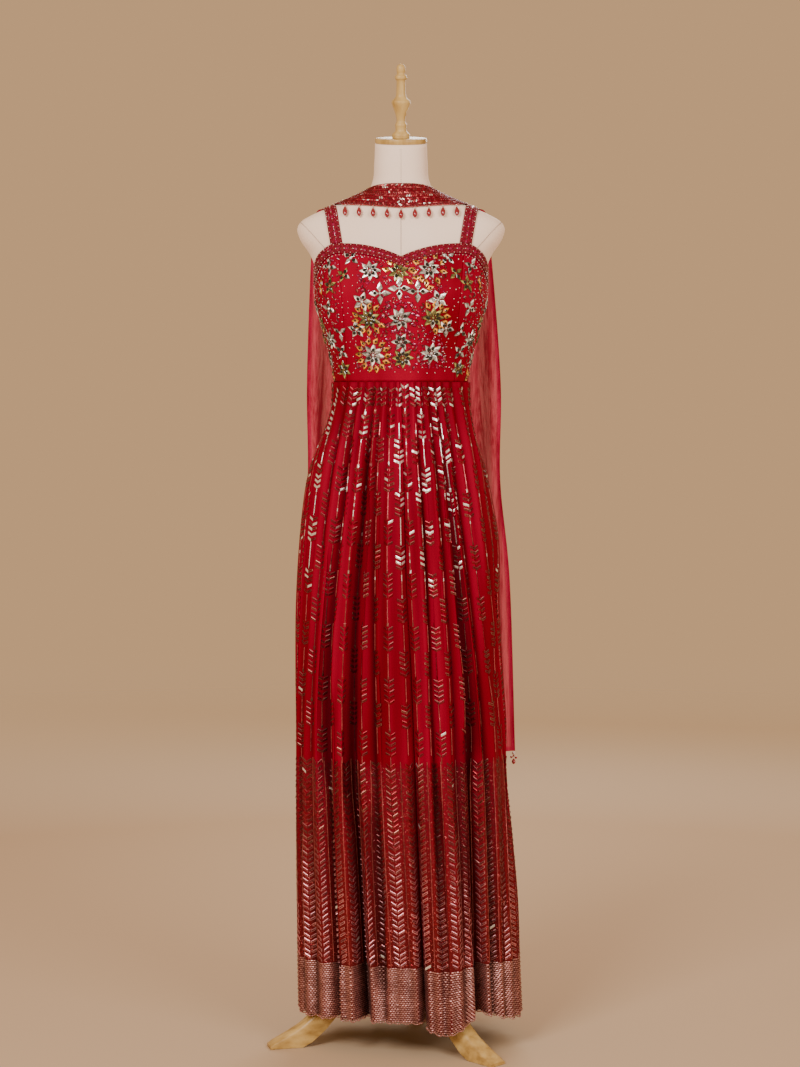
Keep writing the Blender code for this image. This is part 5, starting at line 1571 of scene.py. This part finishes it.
def flower(heap, angle, z, petals, first, length, width, middle, colour, random):
    """Petals round a middle stone, each with a small dark stone at its foot."""
    turns = np.radians(first + 360.0 * np.arange(petals) / petals)
    size = [np.full(petals, width), length * random.uniform(0.94, 1.06, petals)]
    size = np.stack([*size, np.full(petals, PETAL_THICKNESS)], axis=-1)
    # Petal tones: colour that differs at random, times a brightness per petal that is a painted reflection
    tones = varied(colour, petals, random, 0.2) * random.choice((0.5, 0.9, 1.2, 1.5), petals)[:, None]
    if colour == OLIVE:
        tones = np.where(random.random(petals)[:, None] < 0.1, varied(SILVER, petals, random), tones)
    add_gems(heap, KITE, *spots_round(angle, z, middle, turns), turns, size, tones)
    dark = np.where(random.random(petals)[:, None] < 0.6, np.array(DARK), np.array(colour) * 0.5)
    spots = spots_round(angle, z, middle * 0.80, turns)
    add_gems(heap, STONE, *spots, turns, FOOT_STONE, dark, FOOT_LIFT)
    add_gems(heap, STONE, [angle], [z], [0.0], MIDDLE_STONE, varied(colour, 1, random))


def petal_arc(heap, angle, z, radius, first, last, number, colour, random):
    turns = np.radians(np.linspace(first, last, number))
    spots = spots_round(angle, z, radius, turns)
    small = SMALL_PETAL_SHARE if colour == PINK else 1.0
    size = np.array(ARC_PETAL) * (small, small, 1.0)
    lean = turns + random.normal(0, 0.25, number)
    add_gems(heap, KITE, *spots, lean, size, varied(colour, number, random, 0.25))
    if colour != PINK:
        tones = varied(DARK, number, random)
        add_gems(heap, STONE, *spots, lean, ARC_STONE, tones, ARC_LIFT)


def clear_of(flowers, angle, z, width, share=1.0):
    return all(math.hypot((angle - a) * width, z - h) > share * reach for a, h, reach in flowers)


def pearls(heap, back, random, flowers):
    """Small pearls over the ground between the flowers."""
    found = []
    for row, z in enumerate(np.arange(PEARL_LOW_Z, 1.345, PEARL_PITCH * 0.6)):
        width = read(TORSO, z)
        half = math.pi / 2 * width
        for at in np.arange(-half + PEARL_PITCH * (0.5 * (row % 2)), half, PEARL_PITCH):
            angle = at / width + random.normal(0, 0.02)
            height = z + random.normal(0, 0.002)
            edge = top_edge(angle / (math.pi / 4), back) - BORDER_WIDTH - 0.003
            if height <= edge and clear_of(flowers, angle, height, width):
                found.append((math.pi * back + angle, height))
    number = len(found)
    size = random.uniform(0.0007, 0.0011, number)[:, None] * np.ones(3)
    add_gems(heap, DOME, *np.array(found).T, np.zeros(number), size, varied(PEARL, number, random, 0.1))


def filling(heap, back, random, flowers):
    """Small wine and pink petals and beads that fill the ground between the flowers."""
    found = []
    for z in np.arange(1.158, 1.340, FILLING_PITCH):
        width = read(TORSO, z)
        for x in np.arange(-0.137, 0.138, FILLING_PITCH):
            x, height = x + random.normal(0, 0.0018), z + random.normal(0, 0.0018)
            if 0.074 < abs(x) < 0.103 or abs(x) > 0.985 * width:
                continue
            angle = torso_angle(x, height)
            edge = edge_above(angle, height, back) - BORDER_WIDTH - 0.004
            if height <= edge and clear_of(flowers, angle, height, width, 0.82):
                found.append((math.pi * back + angle, height))
    spots = np.array(found)
    number = len(found)
    turns = random.uniform(0, 2 * math.pi, number)
    small = random.random(number) < 0.35
    tones = picked_tones(random, [PINK, BEAD_WINE, DEEP_PINK, BEAD_ROSE], number)
    grown = random.uniform(0.8, 1.2, number)[:, None]
    for shape, size, here in ((KITE, FILLING_PETAL, ~small), (DOME, FILLING_BEAD, small)):
        add_gems(heap, shape, *spots[here].T, turns[here], (np.array(size) * grown)[here], tones[here])


def embroider_bodice():
    """Flowers and pearls, as lists of pieces by the panel that carries them."""
    random = np.random.default_rng(11)
    work = {}
    for name, carrier in (("front", "bodice_front_centre"), ("back", "bodice_back_left")):
        back = name == "back"
        heap, dots = Heap(), Heap()
        highest = BACK_HIGHEST_Z if back else math.inf
        rows = []
        for x, z, *rest in FLOWERS:
            z = min(z / 1000, highest)
            rows.append((torso_angle(x / 1000, z), z, *rest))
        for hand in (-1, 1):
            rows += [(hand * math.radians(turn), z / 1000, *rest) for turn, z, *rest in SIDE_FLOWERS]
        flowers = []
        for angle, z, petals, first, length, width, middle, colour in rows:
            length, width = length / 1000 * PETAL_GROWTH, width / 1000 * PETAL_WIDENING
            middle = middle / 1000 * FLOWER_GROWTH
            flowers.append((angle, z, middle + length / 2))
            spot = (math.pi * back + angle, z)
            flower(heap, *spot, petals, first, length, width, middle, colour, random)
        for x, z, radius, *rest in PETAL_ARCS:
            z = min(z / 1000, highest)
            angle = math.pi * back + torso_angle(x / 1000, z)
            petal_arc(heap, angle, z, radius / 1000, *rest, random)
        filling(heap, back, random, flowers)
        pearls(dots, back, random, flowers)
        gems = heap.build(f"mirror_work_{name}", GEM)
        work[carrier] = [gems, dots.build(f"pearls_{name}", BEAD, flat=False)]
    return work


# Beadwork on the borders, straps and neck band


def border_line(back, down, outside):
    """Line along the bodice's top edge, a distance below it, with its normals."""
    places = np.linspace(-1.99, 1.99, 240)
    heights = np.array([top_edge(p, back) - down for p in places])
    angles = np.array([panel_angle(p, z, back) for p, z in zip(places, heights)])
    here, _, _, normal = torso_frame(angles, heights)
    return here + normal * outside, normal


def trim_rows(heap, line_at, width):
    """Beaded trim: silver lines along both edges and a row of slanted dark stones between."""
    fine, stud, stone = (0.0010, 0.0010, 0.0009), (0.0010, 0.0010, 0.0012), (0.0022, 0.0032, 0.0013)
    edging = [BEAD_SILVER, BEAD_WINE, BEAD_ROSE, BEAD_WINE]
    for share, shape, pitch, size, colours, start in (
        (0.10, DOME, 0.0026, fine, edging, 0.5),
        (0.90, DOME, 0.0026, fine, edging, 0.5),
        (0.26, DOME, 0.0030, fine, edging[1:], 0.5),
        (0.74, DOME, 0.0030, fine, edging[1:], 0.5),
        (0.50, STONE, 0.0078, stone, [PINK, (0.26, 0.004, 0.02)], 0.5),
        (0.50, STONE, 0.0078, stud, [BEAD_SILVER, BEAD_WINE], 0.0),
    ):
        bead_line(heap, shape, *line_at(share * width), pitch, size, colours, start=start)


def bead_borders():
    """The borders' beadwork, by whether it is on the back."""
    made = {}
    for name, back in (("front", False), ("back", True)):
        heap = Heap()
        trim_rows(heap, lambda down, back=back: border_line(back, down, BORDER_OUTSIDE), BORDER_WIDTH)
        line = border_line(back, BORDER_WIDTH + 0.0022, BODICE_OUTSIDE)
        bead_line(heap, DOME, *line, 0.0033, (0.0009, 0.0009, 0.0008), [BEAD_SILVER, PINK])
        made[back] = heap.build(f"border_beads_{name}", GEM)
    return made


def bead_strap(name, grid, normals):
    heap = Heap()

    def line_at(across):
        place = across / STRAP_WIDTH * (grid.shape[1] - 1)
        low = min(int(place), grid.shape[1] - 2)
        share = place - low
        return [here[:, low] * (1 - share) + here[:, low + 1] * share for here in (grid, normals)]

    trim_rows(heap, line_at, STRAP_WIDTH)
    return heap.build(f"strap_beads_{name}", GEM)


def band_line(share, lift):
    """Closed line round the neck band at a share of its height."""
    angles = np.linspace(0, 2 * math.pi, 361)
    here, _, up, normal = torso_frame(angles, band_heights(angles, share))
    return here + normal * (BAND_OUTSIDE + 0.0003 + lift), normal, unit(up), angles


BAND_ROWS = (0.07, 0.19, 0.31, 0.43, 0.57, 0.69, 0.81, 0.93)
BAND_PLATE_HEIGHT = 0.0056
BAND_PLATE = (0.0037, 0.0030, 0.0030)
BAND_PLATE_PITCH = 0.0040
BAND_BEAD = (0.0008, 0.0010, 0.0008)
# Each drop's beads and foot: distance below the band, distance from the form
DROP_SPOTS = ((0.0030, 0.0030), (0.0058, 0.0040), (0.0222, 0.0056))
DROP_BEAD = (0.75, 0.55, 0.45)
STRAND_RED = (0.42, 0.012, 0.03)
STRAND_PITCH = 0.0024
FOIL_DEEP = (0.22, 0.008, 0.016)
FOIL_RED = (0.62, 0.13, 0.13)


def cover_band():
    """Herringbone rows of foil over the neck band, divided by a line of beads."""
    random = np.random.default_rng(5)
    heap, trims = Heap(), Heap()
    plate = slanted_plate(*BAND_PLATE)
    for row, share in enumerate(BAND_ROWS):
        line, normals, up, angles = band_line(share, 0.0003)
        index = along_line(line, BAND_PLATE_PITCH, 0.5 * (row % 2))
        number = len(index)
        angle = taken(angles[:, None], index)[:, 0]
        tall = (band_heights(angle, 1.0) - band_heights(angle, 0.0)) / len(BAND_ROWS)
        lean_up = unit(taken(up, index))
        outward = tilted(unit(taken(normals, index)), lean_up, 0.16, random)
        stretch = np.clip(tall / BAND_PLATE_HEIGHT, 0.30, 1.1)
        scale = np.stack([np.ones_like(stretch), stretch, np.ones_like(stretch)], axis=-1)
        base = picked_tones(random, [FOIL_WINE, FOIL_DEEP, FOIL_BRONZE, FOIL_RED], number)
        base = base * random.uniform(0.6, 1.35, number)[:, None]
        front = np.cos(angle) > 0.80
        # Painted glints: a few foils, more of them in front, are painted white as if catching the light
        bright = (random.random(number) < 0.015) | (front & (random.random(number) < 0.06))
        colours = np.where(bright[:, None], np.array(PAINTED_GLINT), base)
        shape = plate if row % 2 else mirrored(plate)
        heap.add(shape, taken(line, index), outward, lean_up, scale, colours)
    for share, spacing in ((0.5, 0.0035), (0.01, 0.0026), (0.99, 0.0026)):
        line, normals, _, _ = band_line(share, 0.0)
        bead_line(trims, DOME, line, normals, spacing, BAND_BEAD, [BEAD_ROSE, BEAD_WINE])
    return heap.build("neck_band_foil", SEQUIN), trims.build("neck_band_beads", BEAD, flat=False)


def hang_neck_drops():
    """Red glass drops on short beaded threads along the band's front."""
    heap = Heap()
    reach = (DROP_COUNT - 1) / 2 * DROP_SPACING
    edge = np.linspace(-math.radians(75), math.radians(75), 301)
    across = torso_surface(edge, band_heights(edge, 0.0), BAND_OUTSIDE)[:, 0]
    strand = np.interp(np.arange(-reach - 0.004, reach + 0.004, STRAND_PITCH), across, edge)
    here, _, _, normal = torso_frame(strand, band_heights(strand, 0.0) - 0.0012)
    shades = varied(STRAND_RED, len(strand), np.random.default_rng(3), 0.4)
    heap.add(BALL, here + normal * 0.0020, normal, (0, 0, 1), 0.0012, shades)
    for x in np.linspace(-reach, reach, DROP_COUNT):
        top = band_edges(float(np.interp(x, across, edge)))[0] - SEAM_GAP
        spots = []
        for drop, offset in DROP_SPOTS:
            spots.append(torso_surface(torso_angle(x, top - drop), top - drop, offset))
        outward = torso_frame(torso_angle(x, top - 0.012), top - 0.012)[3]
        heap.add(BALL, spots[:2], outward, (0, 0, 1), 0.0013, DROP_BEAD)
        size = (0.0044, np.linalg.norm(spots[1] - spots[2]), 0.0044)
        heap.add(TEARDROP, [spots[2]], outward, spots[1] - spots[2], size, DROP_RED)
    return heap.build("neck_drops", BEAD, flat=False, stand_for=("neck_band_drops",), slot="red_beads")


# Drape's hems and corner drops, and the form's seams


def trim_drape(grid):
    """Turned edges of the drape, and bead drops at its two lower corners."""
    raised = grid + grid_normals(grid) * 0.0005
    above = raised[-2] - raised[-1]
    hem = raised[-1] + above * (0.008 / np.linalg.norm(above, axis=-1, keepdims=True))
    strips = {"left": raised[:, :4], "right": raised[:, -4:], "foot": np.stack([hem, raised[-1]])}
    trims = []
    for name, strip in strips.items():
        faces = grid_faces(strip.shape)
        trims.append(add_piece(f"drape_hem_{name}", strip, faces, NET_HEM, slot="red_net"))
    heap = Heap()
    outward, up = (0, -1, 0), (0, 0, 1)
    for corner in (grid[-1, 1], grid[-1, -2]):
        for aside, drop, size, colour in (
            (0.0, 0.004, 0.0034, PEARL),
            (-0.004, 0.011, 0.0024, BEAD_RED),
            (0.004, 0.012, 0.0024, BEAD_RED),
            (0.0, 0.009, 0.0018, BEAD_RED),
        ):
            heap.add(BALL, [corner + (aside, 0, -drop)], outward, up, size, colour)
        heap.add(TEARDROP, [corner - (0, 0, 0.024)], outward, up, (0.0035, 0.011, 0.0035), BEAD_RED)
    return [*trims, heap.build("drape_corner_drops", BEAD, flat=False)]


STITCH = (0.0008, 0.0034, 0.00035)
STITCH_PITCH = 0.0032
STITCH_BROWN = (0.30, 0.20, 0.14)
# The seam round each arm: distance from the middle, height
ARM_SEAM = millimetres(
    (108, 1330), (124, 1352), (138, 1368), (150, 1382), (161, 1394), (168.5, 1401.5), (172.5, 1405.5),
)


def stitch_form():
    """Thin seam lines on the linen: down the middle and round the arms."""
    heights = np.linspace(1.300, 1.535, 60)
    lines = [torso_surface(np.full(60, facing), heights, 0.0) for facing in (0.0, math.pi)]
    fine = np.linspace(0, len(ARM_SEAM) - 1, 60)
    x, z = (np.interp(fine, np.arange(len(ARM_SEAM)), column(ARM_SEAM, k)) for k in (0, 1))
    for side in (-1, 1):
        angle = np.array([torso_angle(side * a, b) for a, b in zip(x, z)])
        lines += [torso_surface(turn, z, 0.0) for turn in (angle, math.pi - angle)]
    heap, thread = Heap(), bugle(*STITCH)
    for line in lines:
        outward = unit(line - np.array([0, 0, 1.38]))
        bead_line(heap, thread, line, outward, STITCH_PITCH, 1.0, [STITCH_BROWN], lift=-0.0006)
    heap.build("form_seams", SEAM_THREAD, slot="cream_linen")


# Camera, floor and light

# Each lamp: place, aim, size, power, colour
LAMPS = {
    "key": ((-1.5, -3.0, 2.6), (0.0, 0.0, 0.95), 1.4, 108, (1.0, 0.96, 0.92)),
    "fill": ((2.1, -2.9, 2.0), (0.0, 0.0, 0.85), 1.8, 62, (1.0, 0.97, 0.94)),
    "rim": ((0.6, 2.6, 2.4), (0.0, 0.0, 0.9), 1.5, 50, (1.0, 1.0, 1.0)),
}
FLOOR_HALF = 12.0
FLOOR_FADE = 7.0
PAPER = (0.53, 0.385, 0.245)
WORLD = (0.90, 0.53, 0.262, 1.0)
WORLD_STRENGTH = 0.70


def link(name, data):
    made = bpy.data.objects.new(name, data)
    bpy.context.scene.collection.objects.link(made)
    return made


def add_camera():
    data = bpy.data.cameras.new("camera")
    data.sensor_width = SENSOR_MM
    data.lens = FOCAL_PX * SENSOR_MM / FRAME_LONG_PX
    data.shift_y = CAMERA_SHIFT_Y
    camera = link("camera", data)
    camera.location = (POLE[0] + CAMERA_X, POLE[1] - CAMERA_DISTANCE, CAMERA_HEIGHT)
    camera.rotation_euler = (math.pi / 2 - CAMERA_DOWN, 0.0, 0.0)
    bpy.context.scene.camera = camera


def add_studio():
    """Floor of pale paper that fades out far away, even surround and three soft lamps."""
    mesh = bpy.data.meshes.new("floor")
    corners = [(-1, -1), (1, -1), (1, 1), (-1, 1)]
    mesh.from_pydata([(x * FLOOR_HALF, y * FLOOR_HALF, 0) for x, y in corners], [], [(0, 1, 2, 3)])
    look, tree, shader = new_look("floor_paper", PAPER, 0.9)
    shrink = {"Vector": object_place(tree), "Scale": (1 / FLOOR_FADE,) * 3}
    round_middle = {"Vector": add_node(tree, "Mapping", shrink)}
    near = add_node(tree, "TexGradient", round_middle, "Fac", gradient_type="SPHERICAL")
    cover = ramp(tree, near, (0.12, (0.0, 0.0, 0.0)), (0.70, (1.0, 1.0, 1.0)))
    # Painted light: the floor's colour grows paler far out, making up for the lamps' light that falls off
    # there
    tones = ramp(tree, near, (0.12, (0.95, 0.95, 0.95)), (0.45, (0.80, 0.70, 0.56)), (0.70, PAPER))
    connect(tree, shader, {"Alpha": cover, "Base Color": tones})
    mesh.materials.append(look)
    floor = link("floor", mesh)
    floor.location.z = -0.0005
    world = bpy.data.worlds.new("studio")
    world.use_nodes = True
    background = world.node_tree.nodes["Background"]
    connect(world.node_tree, background, {"Color": WORLD, "Strength": WORLD_STRENGTH})
    bpy.context.scene.world = world
    for name, (place, aim, size, power, colour) in LAMPS.items():
        data = bpy.data.lights.new(name, "AREA")
        data.shape = "RECTANGLE"
        data.size = data.size_y = size
        data.energy = power
        data.color = colour
        lamp = link(name, data)
        lamp.location = place
        lamp.rotation_euler = (Vector(aim) - Vector(place)).to_track_quat("-Z", "Y").to_euler()


def main():
    add_camera()
    add_studio()
    build_form()
    build_wood()
    build_bodice()
    build_straps()
    build_neck_band()
    for side in SIDES:
        for face in FACES:
            build_leg(side, face)
    build_drape()
    stitch_form()


main()
